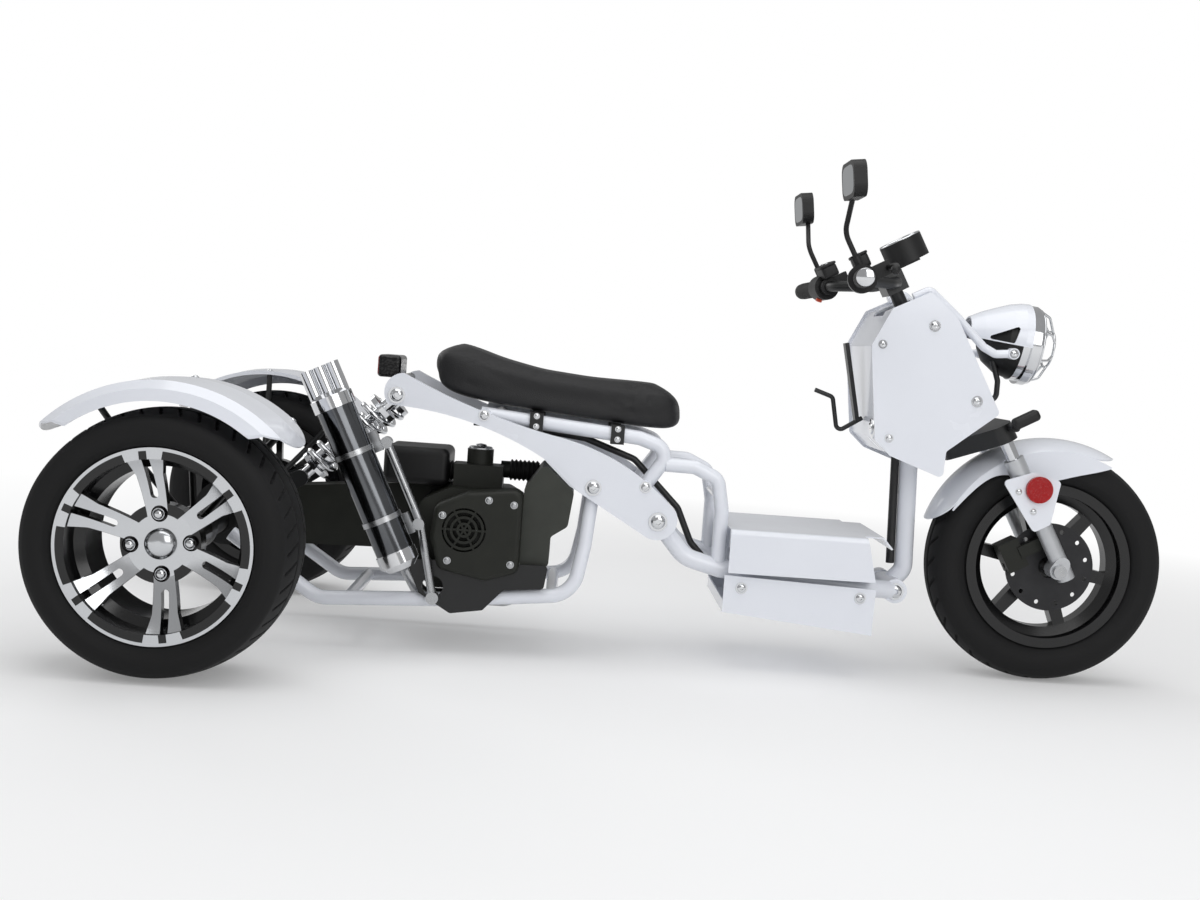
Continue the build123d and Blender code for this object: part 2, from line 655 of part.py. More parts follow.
# The arms lie over the upper corner of the box, then reach forward
lamp_arm = [(487.5, 750.0), (518.4, 765.9), (575.3, 718.3), (632.0, 664.0), (656.0, 652.0), LAMP_PIVOT]
bracket = tube([(x, -BRACKET_TUBE_Y, z) for x, z in lamp_arm], BRACKET_TUBE_D, 12.0)
bracket += rod_y(*LAMP_PIVOT, -BRACKET_TUBE_Y - 10, -BRACKET_TUBE_Y + 10, 11.0)
bracket += rod_y(*LAMP_PIVOT, -BRACKET_TUBE_Y + 7, -LAMP_LUG_Y, 7.0)
nodes["headlight_bracket"] = pair(bracket)

# Stay from the lamp's bowl down to the lower front edge of the box
LAMP_STAY = [(676.0, 640.0), (690.0, 600.0), (690.0, 566.0), (650.0, 546.0)]
LAMP_STAY_Y = -30.0
LAMP_STAY_D = 11.0
lamp_stay = tube([(x, LAMP_STAY_Y, z) for x, z in LAMP_STAY], LAMP_STAY_D, 16.0)
lamp_stay -= lamp_place * turned_x([(BOWL[0][0], 0)] + [(x, r + FIT) for x, r in BOWL] + [(BOWL[-1][0], 0)])
lamp_stay -= plate(offset(shell_outer, FIT), -BODY_HALF_W, BODY_HALF_W)
nodes["headlight_stay"] = max(lamp_stay.solids(), key=lambda piece: piece.volume)

hook = tube([(431, 0, 506), (382, 0, 474), (368, 0, 544), (331, 0, 556)], 9.0, 10.0)
hook_plate = outline([(424, 500), (390, 655), (382, 653), (416, 498)])
bag_hook = plate(hook_plate, -12, 12) + hook
bag_hook -= plate(offset(shell_outer, FIT), -BODY_HALF_W, BODY_HALF_W)
nodes["bag_hook"] = bag_hook

# Floor frame: two lower rails, their cross tubes and the posts under the floor
ARM_BOLT = (25.0, 283.0)
FLOOR_Z = 280.0
FLOOR_X = (166.0, 452.0)
FLOOR_HALF_W = 160.0
FLOOR_SKIRT_Z = 196.0
TRAY_TOP_Z = 190.0
TRAY_HALF_W = 150.0
TRAY_BAR_R = 11.0
TRAY_BOLTS = [(195.0, 167.0), (426.0, 163.0)]
rail_points = [
    (ARM_BOLT[0], -RAIL_Y, ARM_BOLT[1]), (84, -RAIL_Y, 214), (155, -RAIL_Y, 196),
    (440, -RAIL_Y, 178), (PIVOT_X, -64, PIVOT_Z),
]
rail = tube(rail_points, RAIL_D, 60.0)
rail += rod_y(*ARM_BOLT, -ARM_Y, -RAIL_Y + 18, 23.0)
rail += rod_y(PIVOT_X, PIVOT_Z, -78, -46, 24.0)
floor_frame = rail + left_of(rail)
for x, z in TRAY_BOLTS:
    floor_frame += rod_y(x, z, -TRAY_HALF_W + SHEET_T, TRAY_HALF_W - SHEET_T, TRAY_BAR_R)
for x in (205.0, 415.0):
    floor_frame += rod_y(x, FLOOR_Z - SHEET_T - 10, -140, 140, 10.0)
    for side in (-1, 1):
        floor_frame += Pos(x, side * RAIL_Y, 228) * Cylinder(9, 76)
floor_frame -= rod_y(PIVOT_X, PIVOT_Z, -45.9, 45.9, 30.0)
nodes["floor_frame"] = floor_frame

floor_profile = outline(
    [
        (FLOOR_X[0], FLOOR_SKIRT_Z), (FLOOR_X[0], FLOOR_Z),
        (FLOOR_X[1] - 20, FLOOR_Z), (FLOOR_X[1], FLOOR_SKIRT_Z),
    ]
)
floor_solid = plate(floor_profile, -FLOOR_HALF_W, FLOOR_HALF_W)
floor_solid = fillet(floor_solid.edges().filter_by(Axis.X).group_by(Axis.Z)[-1], 10.0)
floor_cavity = outline(
    [
        (FLOOR_X[0] - 1, FLOOR_SKIRT_Z - 1), (FLOOR_X[0] - 1, FLOOR_Z - SHEET_T),
        (FLOOR_X[1] - 20 - SHEET_T, FLOOR_Z - SHEET_T), (FLOOR_X[1] - SHEET_T, FLOOR_SKIRT_Z - 1),
    ]
)
floorboard = floor_solid - plate(floor_cavity, -FLOOR_HALF_W + SHEET_T, FLOOR_HALF_W - SHEET_T)
# Apron that carries the deck on towards the down tube and turns down there
APRON_HALF_W = 118.0
apron = outline(
    [
        (FLOOR_X[1] - 24, FLOOR_Z - SHEET_T), (FLOOR_X[1] - 24, FLOOR_Z), (FLOOR_X[1] + 18, FLOOR_Z),
        (FLOOR_X[1] + 38, FLOOR_Z - 22), (FLOOR_X[1] + 35, FLOOR_Z - 24),
        (FLOOR_X[1] + 16.5, FLOOR_Z - SHEET_T),
    ]
)
floorboard += plate(apron, -APRON_HALF_W, APRON_HALF_W)
nodes["floorboard"] = floorboard

tray_face = outline([(161, TRAY_TOP_Z), (456, 181), (454, 91), (161, 118)])
tray_inner = outline([(161 + SHEET_T, 240), (456 - SHEET_T, 240), (454 - SHEET_T, 94), (161 + SHEET_T, 121)])
battery_box = plate(tray_face, -TRAY_HALF_W, TRAY_HALF_W)
battery_box -= plate(tray_inner, -TRAY_HALF_W + SHEET_T, TRAY_HALF_W - SHEET_T)
battery_box -= plate(outline([(100, 142), (520, 130), (520, 240), (100, 240)]), -TRAY_HALF_W + SHEET_T,
                     TRAY_HALF_W - SHEET_T)
nodes["battery_box"] = battery_box

# Side arms from the floor frame back to the upper shock bolts
SHOCK_TOP = (-491.0, 491.0)
CRADLE_BOLT = (-104.0, 340.0)
arm_face = make_face(
    [
        ThreePointArc((58, 305), (-56, 391), (-190, 435)),
        ThreePointArc((-190, 435), (-330, 473), (-480, 534)),
        ThreePointArc((-480, 534), (-512, 512), (-506, 472)),
        ThreePointArc((-506, 472), (-340, 447), (-204, 390)),
        Line((-204, 390), (-150, 340)),
        Line((-150, 340), (0, 254)),
        ThreePointArc((0, 254), (50, 258), (58, 305)),
    ]
)
side_arm = plate(arm_face, -ARM_Y - ARM_T, -ARM_Y)
nodes["side_arms"] = pair(side_arm)

# Seat rails and the stepped tubes that carry them down to the floor frame
SEAT_RAIL = [(-330.0, 466.0), (-20.0, 440.0), (44.0, 420.0), (-6.0, 345.0)]
SEAT_CROSS = (-300.0, 463.0)
SEAT_CROSS_R = 10.0
seat_rail_points = [(x, -RAIL_Y, z) for x, z in SEAT_RAIL]
seat_rail = tube(seat_rail_points, SEAT_TUBE_D, 26.0)
for x, z in [(-4.0, 348.0), (-322.0, 464.0)]:
    seat_rail += rod_y(x, z, -ARM_Y, -RAIL_Y + 10, 13.0)
step_tube = tube(
    [(34, -RAIL_Y, 392), (92, -RAIL_Y, 391), (138, -RAIL_Y, 370), (150, -RAIL_Y, 310), (150, -RAIL_Y, 190)],
    SEAT_TUBE_D,
    24.0,
)
rails = seat_rail + step_tube
seat_frame = rails + left_of(rails) + rod_y(*SEAT_CROSS, -RAIL_Y, RAIL_Y, SEAT_CROSS_R)
seat_frame += rod_y(146, 335, -RAIL_Y, RAIL_Y, 10.0)
clear_rail = tube(rail_points, RAIL_D + 2 * FIT, 60.0)
seat_frame -= clear_rail + left_of(clear_rail)
nodes["seat_frame"] = seat_frame

# Seat and its two clamps on each rail
SEAT_HALF_W = 118.0
SEAT_NOSE_HALF_W = 92.0
SEAT_BASE = [(-330.0, 485.0), (-20.0, 459.0)]     # flat of the seat's base above its rails
seat_face = make_face(
    [
        ThreePointArc((-410, 514), (-434, 556), (-416, 586)),
        ThreePointArc((-416, 586), (-388, 594), (-356, 585)),
        ThreePointArc((-356, 585), (-180, 544), (25, 536)),
        ThreePointArc((25, 536), (61, 505), (46, 460)),
        Line((46, 460), SEAT_BASE[1]),
        Line(SEAT_BASE[1], SEAT_BASE[0]),
        Line(SEAT_BASE[0], (-410, 514)),
    ]
)
seat_plan = outline(
    [
        (-440, -SEAT_HALF_W), (-150, -SEAT_HALF_W), (70, -SEAT_NOSE_HALF_W),
        (70, SEAT_NOSE_HALF_W), (-150, SEAT_HALF_W), (-440, SEAT_HALF_W),
    ],
    50.0,
)
seat = plate(seat_face, -SEAT_HALF_W, SEAT_HALF_W) & extrude(Pos(0, 0, 400) * seat_plan, amount=300)
nodes["seat"] = seat
clamp_list = []
for x, z in [(-222.0, 457.0), (-64.0, 443.5)]:
    block = Pos(x, -RAIL_Y, z + 4) * Box(26, SEAT_TUBE_D + 10, SEAT_TUBE_D + 16)
    clamp_list.append(block)
clear_seat_rail = tube(seat_rail_points, SEAT_TUBE_D + 2 * FIT, 26.0)
seat_lift = Pos(0, 0, -FIT) * plate(outline([*SEAT_BASE, (SEAT_BASE[-1][0], 700), (-330, 700)]), -300, 300)
clamps = [block - clear_seat_rail - seat_lift for block in clamp_list]
nodes["seat_clamps"] = Compound(children=clamps + [left_of(c) for c in clamps])

# Rear module: cradle rails, cross tubes, axle housing
cradle_points = [
    (-104, -112, 330), (-113, -128, 225), (-130, -CRADLE_Y, 130), (-364, -CRADLE_Y, 106),
    (-618, -CRADLE_Y, 92), (-790, -CRADLE_Y, 205),
]
cradle = tube(cradle_points, CRADLE_D, 55.0)
cradle += rod_y(*CRADLE_BOLT, -ARM_Y, -92, 18.0)
cradle -= rod_y(REAR_X, REAR_Z, -200, 200, AXLE_HOUSING_R + FIT)
nodes["cradle_rail_right"] = cradle
nodes["cradle_rail_left"] = left_of(cradle)
CROSS_R = 12.0
cross = rod_y(-104, 336, -92, 92, CROSS_R)
cross_list = [cross]
for x, z in [(-170.0, 125.9), (-560.0, 95.2)]:
    bar = rod_y(x, z, -CRADLE_Y, CRADLE_Y, CROSS_R)
    clear = tube(cradle_points, CRADLE_D + 2 * FIT, 55.0)
    cross_list.append(bar - clear - left_of(clear))
nodes["cradle_cross_tubes"] = Compound(
    children=[max(c.solids(), key=lambda s: s.volume) for c in cross_list]
)

SHOCK_LOW = (-668.0, 318.0)
SHOCK_Y = 110.0
SHOCK_EYE_W = 24.0
SHOCK_LUG_T = 8.0
housing = rod_y(REAR_X, REAR_Z, -AXLE_HOUSING_END, AXLE_HOUSING_END, AXLE_HOUSING_R)
housing += rod_y(REAR_X, REAR_Z, -20, 44, 66.0)
lug_face = make_hull(
    (Pos(REAR_X, REAR_Z) * Circle(34)).edges() + (Pos(*SHOCK_LOW) * Circle(15)).edges()
)
for side in (-1, 1):
    lug_in = SHOCK_Y + SHOCK_EYE_W / 2 + FIT
    low, high = sorted((side * lug_in, side * (lug_in + SHOCK_LUG_T)))
    housing += plate(lug_face, low, high)
for side in (-1, 1):
    low, high = sorted((side * (AXLE_HOUSING_END + 1), side * (AXLE_HOUSING_END - 70)))
    housing -= rod_y(REAR_X, REAR_Z, low, high, STUB_R + FIT)
nodes["rear_axle_housing"] = housing

COIL_R = 30.0
COIL_TURNS = 7


def rear_shock():
    """Right shock absorber: eyes, body, and the spring's turns as a stack of rings."""
    length = math.dist(SHOCK_TOP, SHOCK_LOW)
    profile = [(0, 0), (0, 9), (34, 9), (34, COIL_R + 2), (40, COIL_R + 2)]
    pitch = (length - 40 - 46) / COIL_TURNS
    for turn in range(COIL_TURNS):
        start = 40 + pitch * turn
        profile += [
            (start, 20), (start + pitch * 0.25, COIL_R),
            (start + pitch * 0.65, COIL_R), (start + pitch * 0.9, 20),
        ]
    profile += [(length - 46, 20), (length - 46, COIL_R + 2), (length - 36, COIL_R + 2), (length - 36, 10)]
    profile += [(length, 10), (length, 0)]
    body = turned_x(profile)
    eye = Rot(90, 0, 0) * Cylinder(15, SHOCK_EYE_W)
    body += eye
    body += Pos(length, 0, 0) * eye
    tilt = math.degrees(math.atan2(SHOCK_TOP[1] - SHOCK_LOW[1], SHOCK_TOP[0] - SHOCK_LOW[0]))
    return Pos(SHOCK_LOW[0], -SHOCK_Y, SHOCK_LOW[1]) * Rot(0, -tilt, 0) * body


shock = rear_shock() + rod_y(*SHOCK_TOP, -ARM_Y, -SHOCK_Y, 10.0)
nodes["rear_shocks"] = pair(shock)

# Rear fenders over the wide tyres, on stays from the axle housing
REAR_FENDER_R = 276.0
REAR_FENDER_ARC = (39.0, 141.0)
REAR_FENDER_TIP = 70.0
REAR_FENDER_IN = 308.0
REAR_FENDER_OUT = 546.0


def rear_fender():
    """Right fender: crowned sheet with a turned-down outer skirt."""
    inner, outer, r = -REAR_FENDER_IN, -REAR_FENDER_OUT, REAR_FENDER_R
    points = [
        (r - 8, inner), (r, inner), (r + 3, inner - 90), (r, outer + 26), (r - 14, outer + 6),
        (r - 34, outer),
        (r - 34, outer + SHEET_T), (r - 15, outer + 6 + SHEET_T), (r - SHEET_T, outer + 28),
        (r + 3 - SHEET_T, inner - 90), (r - SHEET_T, inner - SHEET_T), (r - 8, inner - SHEET_T),
    ]
    shell = revolve(
        make_face(Polyline(*points, close=True)), axis=Axis.Y,
        revolution_arc=REAR_FENDER_ARC[1] - REAR_FENDER_ARC[0],
    )
    shell = Pos(REAR_X, 0, REAR_Z) * Rot(0, -REAR_FENDER_ARC[1], 0) * shell
    half = (REAR_FENDER_OUT - REAR_FENDER_IN) / 2
    for angle, rearward in zip(REAR_FENDER_ARC, (False, True)):
        shell -= beyond_tip((REAR_X, REAR_Z), angle, rearward, inner - half, REAR_FENDER_TIP, half, r)
    return shell


nodes["rear_fender_right"] = rear_fender()
nodes["rear_fender_left"] = left_of(nodes["rear_fender_right"])

STAY_Y = 318.0
STAY_R = 6.0
STAY_ANGLES = (50.0, 90.0, 128.0)
stay = rod_y(REAR_X, REAR_Z, -AXLE_HOUSING_END, -AXLE_HOUSING_END + 44, AXLE_HOUSING_R + 10)
for angle in STAY_ANGLES:
    direction = Vector(math.cos(math.radians(angle)), 0, math.sin(math.radians(angle)))
    reach = REAR_FENDER_R - SHEET_T - FIT
    foot = Vector(REAR_X, -AXLE_HOUSING_END + 22, REAR_Z) + direction * AXLE_HOUSING_R
    knee = Vector(REAR_X, -STAY_Y, REAR_Z) + direction * 150
    top = Vector(REAR_X, -STAY_Y, REAR_Z) + direction * reach
    stay += tube([foot, knee, top], 2 * STAY_R, 60.0)
stay -= rod_y(REAR_X, REAR_Z, -400, -200, AXLE_HOUSING_R + FIT)
stay -= nodes["rear_fender_right"]
stay = max(stay.solids(), key=lambda s: s.volume)
nodes["fender_stays"] = pair(stay)

# Engine: case, fan cowl on the right, cylinder forward, belt case on the left
FAN = (-344.0, 246.0)
FAN_COWL_Y = -182.0
CASE_Y = (-128.0, 42.0)
engine_face = outline(
    [
        (-436, 150), (-436, 290), (-380, 318), (-270, 318),
        (-236, 300), (-236, 160), (-300, 124), (-400, 124),
    ],
    16.0,
)
nodes["engine_case"] = plate(engine_face, *CASE_Y)

cowl_face = outline(
    [(-402, 290), (-340, 318), (-236, 330), (-236, 170), (-300, 150), (-390, 168), (-408, 230)], 18.0
)
fan_cowl = plate(cowl_face, FAN_COWL_Y, CASE_Y[0])
fan_cowl = fillet(fan_cowl.faces().sort_by(Axis.Y)[0].edges(), 10.0)
fan_cowl -= rod_y(*FAN, FAN_COWL_Y - 1, FAN_COWL_Y + 16, 42.0)
for radius in (12.0, 24.0, 36.0):
    ring = Circle(radius + 2.5) - Circle(radius - 2.5)
    fan_cowl += plate(Pos(*FAN) * ring, FAN_COWL_Y, FAN_COWL_Y + 18)
for angle in (0, 60, 120):
    bar = Pos(*FAN) * Rot(0, 0, angle) * Rectangle(86, 4)
    fan_cowl += plate(bar, FAN_COWL_Y + 1, FAN_COWL_Y + 18)
nodes["fan_cowl"] = fan_cowl

cylinder_face = outline(
    [
        (-236 + FIT, 176), (-236 + FIT, 330), (-200, 380), (-140, 330),
        (-148, 262), (-180, 240), (-180, 180),
    ],
    12.0,
)
nodes["cylinder_cowl"] = plate(cylinder_face, -150, 20)

belt_face = make_hull((Pos(*FAN) * Circle(72)).edges() + (Pos(-690, 226) * Circle(60)).edges())
belt_case = plate(belt_face, CASE_Y[1], 122)
belt_case = fillet(belt_case.faces().sort_by(Axis.Y)[-1].edges(), 14.0)
nodes["belt_case"] = belt_case

intake = Pos(-330, -40, 340) * Box(96, 70, 44)
intake += Pos(-330, -40, 372) * Cylinder(26, 40)
intake += Pos(-264, -10, 352) * Rot(0, 90, 0) * Cylinder(17, 50)
nodes["carburettor"] = intake
air_box = fillet(Box(130, 150, 74).edges(), 14.0)
nodes["air_box"] = Pos(-455, 20, 350.2) * air_box

guard_face = outline(
    [(-452, 182), (-424, 118), (-362, 82), (-300, 92), (-262, 134), (-186, 140), (-180, 186)], 8.0
)
guard_face -= Pos(-398, 132) * Circle(20)
GUARD_Y = CRADLE_Y + CRADLE_D / 2 + FIT
engine_guard = plate(guard_face, -GUARD_Y - 6, -GUARD_Y)
engine_guard += rod_y(-300, 166, -GUARD_Y - 3, CASE_Y[0] - 8, 10.0)
engine_guard -= nodes["fan_cowl"] + nodes["engine_case"]
nodes["engine_guard"] = max(engine_guard.solids(), key=lambda s: s.volume)

# Exhaust: header pipe, inclined muffler with three outlet tips, and its hanger
MUFFLER_Y = -236.0
MUFFLER_LOW = (-455.0, 185.0)
MUFFLER_TOP = (-601.0, 484.0)
MUFFLER_R = 38.0
TIP_R = 13.0
TIP_L = 58.0
muffler_len = math.dist(MUFFLER_LOW, MUFFLER_TOP)
muffler_tilt = math.degrees(math.atan2(MUFFLER_TOP[1] - MUFFLER_LOW[1], MUFFLER_TOP[0] - MUFFLER_LOW[0]))
muffler_place = Pos(MUFFLER_LOW[0], MUFFLER_Y, MUFFLER_LOW[1]) * Rot(0, -muffler_tilt, 0)
muffler = turned_x(
    [
        (-12, 0), (-12, 26), (0, MUFFLER_R), (22, MUFFLER_R), (22, MUFFLER_R - 2),
        (muffler_len - 24, MUFFLER_R - 2), (muffler_len - 24, MUFFLER_R + 2), (muffler_len, MUFFLER_R + 2),
        (muffler_len + 8, 26), (muffler_len + 8, 0),
    ]
)
for side in (-1, 0, 1):
    tip = Pos(muffler_len + TIP_L / 2, 0, side * (2 * TIP_R - 1)) * Rot(0, 90, 0)
    muffler += tip * Cylinder(TIP_R, TIP_L)
    muffler -= tip * Pos(0, 0, 12) * Cylinder(TIP_R - 2, TIP_L)
nodes["muffler"] = muffler_place * muffler
muffler_clear = muffler_place * Pos(muffler_len / 2, 0, 0) * Rot(0, 90, 0) * Cylinder(
    MUFFLER_R + FIT, muffler_len
)
PIPE_D = 28.0
pipe = tube(
    [
        (-206, -80, 176.2), (-206, -84, 122), (-262, -96, 104), (-426, -100, 104), (-458, -106, 160),
        (-470, -150, 196), (-470, -236, 208),
    ],
    PIPE_D,
    26.0,
)
pipe -= muffler_clear
nodes["exhaust_pipe"] = pipe

HANGER_Y = GUARD_Y + 6 + 10
hanger = tube([(-396, -HANGER_Y, 112), (-426, -HANGER_Y, 251), (-500, -HANGER_Y, 402)], 16.0, 30.0)
hanger += rod_y(-396, 112, -HANGER_Y - 10, -GUARD_Y - 6, 12.0)
for x, z in [(-430.0, 252.0), (-500.0, 402.0)]:
    hanger += rod_y(x, z, -HANGER_Y - 12, -HANGER_Y + 10, 11.0)
    hanger += Pos(x - 22, -HANGER_Y - 14, z) * Rot(0, 90 - muffler_tilt, 0) * Box(22, 20, 40)
hanger -= muffler_place * Pos(muffler_len / 2, 0, 0) * Rot(0, 90, 0) * Cylinder(
    MUFFLER_R - 2 + FIT, muffler_len
)
hanger -= nodes["engine_guard"]
nodes["muffler_hanger"] = max(hanger.solids(), key=lambda s: s.volume)

# Wiring: one loom from under the seat to the tray, one behind the down tube
LOOM_D = 13.0
BAR_LOOM_D = 17.0
LOOM_Y = 80.0
under_cross = SEAT_CROSS[1] - SEAT_CROSS_R - LOOM_D / 2 - FIT
over_tray_bar = TRAY_BOLTS[0][1] + TRAY_BAR_R + LOOM_D / 2 + FIT
loom = tube(
    [
        (-345, -LOOM_Y, under_cross), (-262, -LOOM_Y, under_cross), (-124, -LOOM_Y, 430),
        (-26, -LOOM_Y, 396), (66, -LOOM_Y, 306), (96, -LOOM_Y, 240),
        (150, -LOOM_Y, over_tray_bar), (240, -LOOM_Y, over_tray_bar),
    ],
    LOOM_D,
    26.0,
)
behind = DOWN_TUBE_D / 2 + BAR_LOOM_D / 2 + 2 * FIT
bar_loom = tube(
    [(533 - behind, 0, 446), (533 - behind, 0, 428), (540.5 - behind, 0, 216)], BAR_LOOM_D, 40.0
)
nodes["wiring_looms"] = Compound(children=[loom, bar_loom])

# Rear lamp on the upper end of the arms
lamp_bar = rod_y(-496, 519, -ARM_Y + FIT, ARM_Y - FIT, 9.0)
lamp_body = Pos(-520, 0, 543) * Box(46, 110, 44)
nodes["tail_lamp"] = lamp_bar + fillet(lamp_body.edges(), 8.0)

os.makedirs("parts", exist_ok=True)
for name, shape in nodes.items():
    export_step(shape, f"parts/{name}.step")
    print(name, len(shape.solids()), round(sum(s.volume for s in shape.solids())))
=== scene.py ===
# %% [markdown]
# Trike scooter. A low motor trike: an open tube frame, one steered wheel in front, two wide wheels behind.
# Its solids come from CAD and stay exactly where they are. This script dresses them with finishes, and adds
# what CAD leaves out: tread, a sewn seat, springs, bolt heads, mirror glass, the lamp's inside and a dial.
# All of it could be placed by eye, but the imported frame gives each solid's place, so nothing is fitted.
# Lengths are metres: X points forward, Y to the rider's left, Z up.

# %% Load the frame
import json
import math

import bmesh
import bpy
import numpy as np
from mathutils import Matrix, Vector


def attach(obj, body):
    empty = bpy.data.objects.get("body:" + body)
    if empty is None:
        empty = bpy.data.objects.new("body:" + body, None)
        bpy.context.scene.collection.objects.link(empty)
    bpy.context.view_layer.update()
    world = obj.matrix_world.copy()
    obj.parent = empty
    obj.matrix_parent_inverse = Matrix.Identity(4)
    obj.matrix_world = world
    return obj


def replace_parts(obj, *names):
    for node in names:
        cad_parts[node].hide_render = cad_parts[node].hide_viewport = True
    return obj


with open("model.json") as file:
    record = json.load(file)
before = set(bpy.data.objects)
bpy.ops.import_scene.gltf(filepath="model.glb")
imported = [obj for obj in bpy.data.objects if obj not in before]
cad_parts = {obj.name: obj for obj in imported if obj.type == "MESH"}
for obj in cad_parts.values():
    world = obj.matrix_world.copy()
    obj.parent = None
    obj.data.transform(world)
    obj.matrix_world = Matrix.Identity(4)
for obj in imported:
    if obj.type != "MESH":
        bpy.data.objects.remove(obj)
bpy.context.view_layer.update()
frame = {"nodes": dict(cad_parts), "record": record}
NODES = frame["nodes"]

# %% [markdown]
# Camera. The photograph was taken from the machine's right side with a normal lens, a little above the
# seat and slightly rolled. A camera can be turned by hand until the picture looks right, or its place and
# angles can be solved from known shapes. Wheels are circles of known size, so their outlines were used.
# The camera's axes are built from the three angles as the columns of one matrix.

# %% Camera
CAMERA_AT = (-0.1649, -2.8887, 0.6098)
CAMERA_YAW, CAMERA_PITCH, CAMERA_ROLL = -0.0249, 0.0713, 0.0727
FOCAL_PX, IMAGE_PX = 1435.4, 1200
SENSOR_MM = 36.0


def link(made):
    """Puts an object into the scene."""
    bpy.context.scene.collection.objects.link(made)
    return made


right = Vector((math.cos(CAMERA_YAW), math.sin(CAMERA_YAW), 0))
ahead = Vector((-math.sin(CAMERA_YAW), math.cos(CAMERA_YAW), 0))
up = Vector((0, 0, 1))
view_dir = ahead * math.cos(CAMERA_PITCH) - up * math.sin(CAMERA_PITCH)
view_up = up * math.cos(CAMERA_PITCH) + ahead * math.sin(CAMERA_PITCH)
axis_x = right * math.cos(CAMERA_ROLL) + view_up * math.sin(CAMERA_ROLL)
axis_y = view_up * math.cos(CAMERA_ROLL) - right * math.sin(CAMERA_ROLL)
camera = link(bpy.data.objects.new("camera", bpy.data.cameras.new("camera")))
camera.data.sensor_width = SENSOR_MM
camera.data.lens = FOCAL_PX * SENSOR_MM / IMAGE_PX
camera_axes = Matrix((axis_x, axis_y, -view_dir)).transposed().to_4x4()
camera.matrix_world = Matrix.Translation(CAMERA_AT) @ camera_axes
bpy.context.scene.camera = camera
print("lens", round(camera.data.lens, 2), "mm")

# %% [markdown]
# Finishes. Paint, plating, rubber and plastic differ in colour, gloss and grain. Image textures would need
# unwrapped meshes; procedural ones work on any mesh, and on object coordinates a pattern stays on its piece
# when a wheel turns. One function adds a node. Another makes a finish whose colour wanders between two hex
# values in blotches and whose surface carries a fine grain, each with a size in millimetres.

# %% Colour and node helpers
def linear(code):
    """sRGB hex to linear RGBA: c becomes ((c + 0.055) / 1.055) ** 2.4, or c / 12.92 near black."""
    c = np.array([int(code[i:i + 2], 16) for i in (1, 3, 5)]) / 255
    return (*np.where(c <= 0.04045, c / 12.92, ((c + 0.055) / 1.055) ** 2.4).tolist(), 1.0)


def add(tree, kind, sockets=None, **settings):
    """Adds one node. settings are its properties; sockets take a value or another node's output."""
    made = tree.nodes.new(kind)
    for key, value in settings.items():
        setattr(made, key, value)
    for key, value in (sockets or {}).items():
        if isinstance(value, bpy.types.NodeSocket):
            tree.links.new(value, made.inputs[key])
        else:
            made.inputs[key].default_value = value
    return made


def calc(tree, operation, *terms):
    """One step of arithmetic on sockets or numbers."""
    return add(tree, "ShaderNodeMath", dict(enumerate(terms)), operation=operation).outputs[0]


def per_metre(millimetres):
    """Texture scale whose features are that many millimetres across."""
    return 1000.0 / millimetres


print("mid grey in linear light:", round(linear("#808080")[0], 3))

# %% One finish, and a second one laid over it
GRAIN_STRENGTH = 0.35
BLOTCH_DETAIL, GRAIN_DETAIL = 4.0, 2.0


def finish(name, dark, light, blotch_mm, rough, grain_mm, grain_depth, **shader):
    """Colour between two hex values in blotches, roughness (low, high), and a grain that raises bumps."""
    made = bpy.data.materials.new(name)
    made.use_nodes = True
    tree = made.node_tree
    bsdf = tree.nodes["Principled BSDF"]
    where = add(tree, "ShaderNodeTexCoord").outputs["Object"]
    blotch, grain = (
        add(tree, "ShaderNodeTexNoise", {"Vector": where, "Scale": per_metre(mm), "Detail": detail}).outputs[0]
        for mm, detail in ((blotch_mm, BLOTCH_DETAIL), (grain_mm, GRAIN_DETAIL)))
    colour = add(tree, "ShaderNodeMix", {0: blotch, 6: linear(dark), 7: linear(light)}, data_type="RGBA")
    gloss = add(tree, "ShaderNodeMapRange", {"Value": blotch, "To Min": rough[0], "To Max": rough[1]})
    bump = add(tree, "ShaderNodeBump", {"Height": grain, "Strength": GRAIN_STRENGTH, "Distance": grain_depth})
    tree.links.new(colour.outputs[2], bsdf.inputs["Base Color"])
    tree.links.new(gloss.outputs[0], bsdf.inputs["Roughness"])
    tree.links.new(bump.outputs[0], bsdf.inputs["Normal"])
    for socket, value in shader.items():
        bsdf.inputs[socket.replace("_", " ")].default_value = value
    return made


def overlay(made, share, colour, rough, metallic):
    """Lays a second finish over a first one: share is the socket that says how much of it shows."""
    tree = made.node_tree
    bsdf = tree.nodes["Principled BSDF"]
    under_colour = bsdf.inputs["Base Color"].links[0].from_socket
    under_rough = bsdf.inputs["Roughness"].links[0].from_socket
    under_metal = bsdf.inputs["Metallic"].default_value
    mixed = add(tree, "ShaderNodeMix", {0: share, 6: under_colour, 7: linear(colour)}, data_type="RGBA")
    gloss = add(tree, "ShaderNodeMix", {0: share, 2: under_rough, 3: rough}, data_type="FLOAT")
    tree.links.new(mixed.outputs[2], bsdf.inputs["Base Color"])
    tree.links.new(gloss.outputs[0], bsdf.inputs["Roughness"])
    if metallic != under_metal:
        metal = add(tree, "ShaderNodeMix", {0: share, 2: under_metal, 3: metallic}, data_type="FLOAT")
        tree.links.new(metal.outputs[0], bsdf.inputs["Metallic"])
    return made


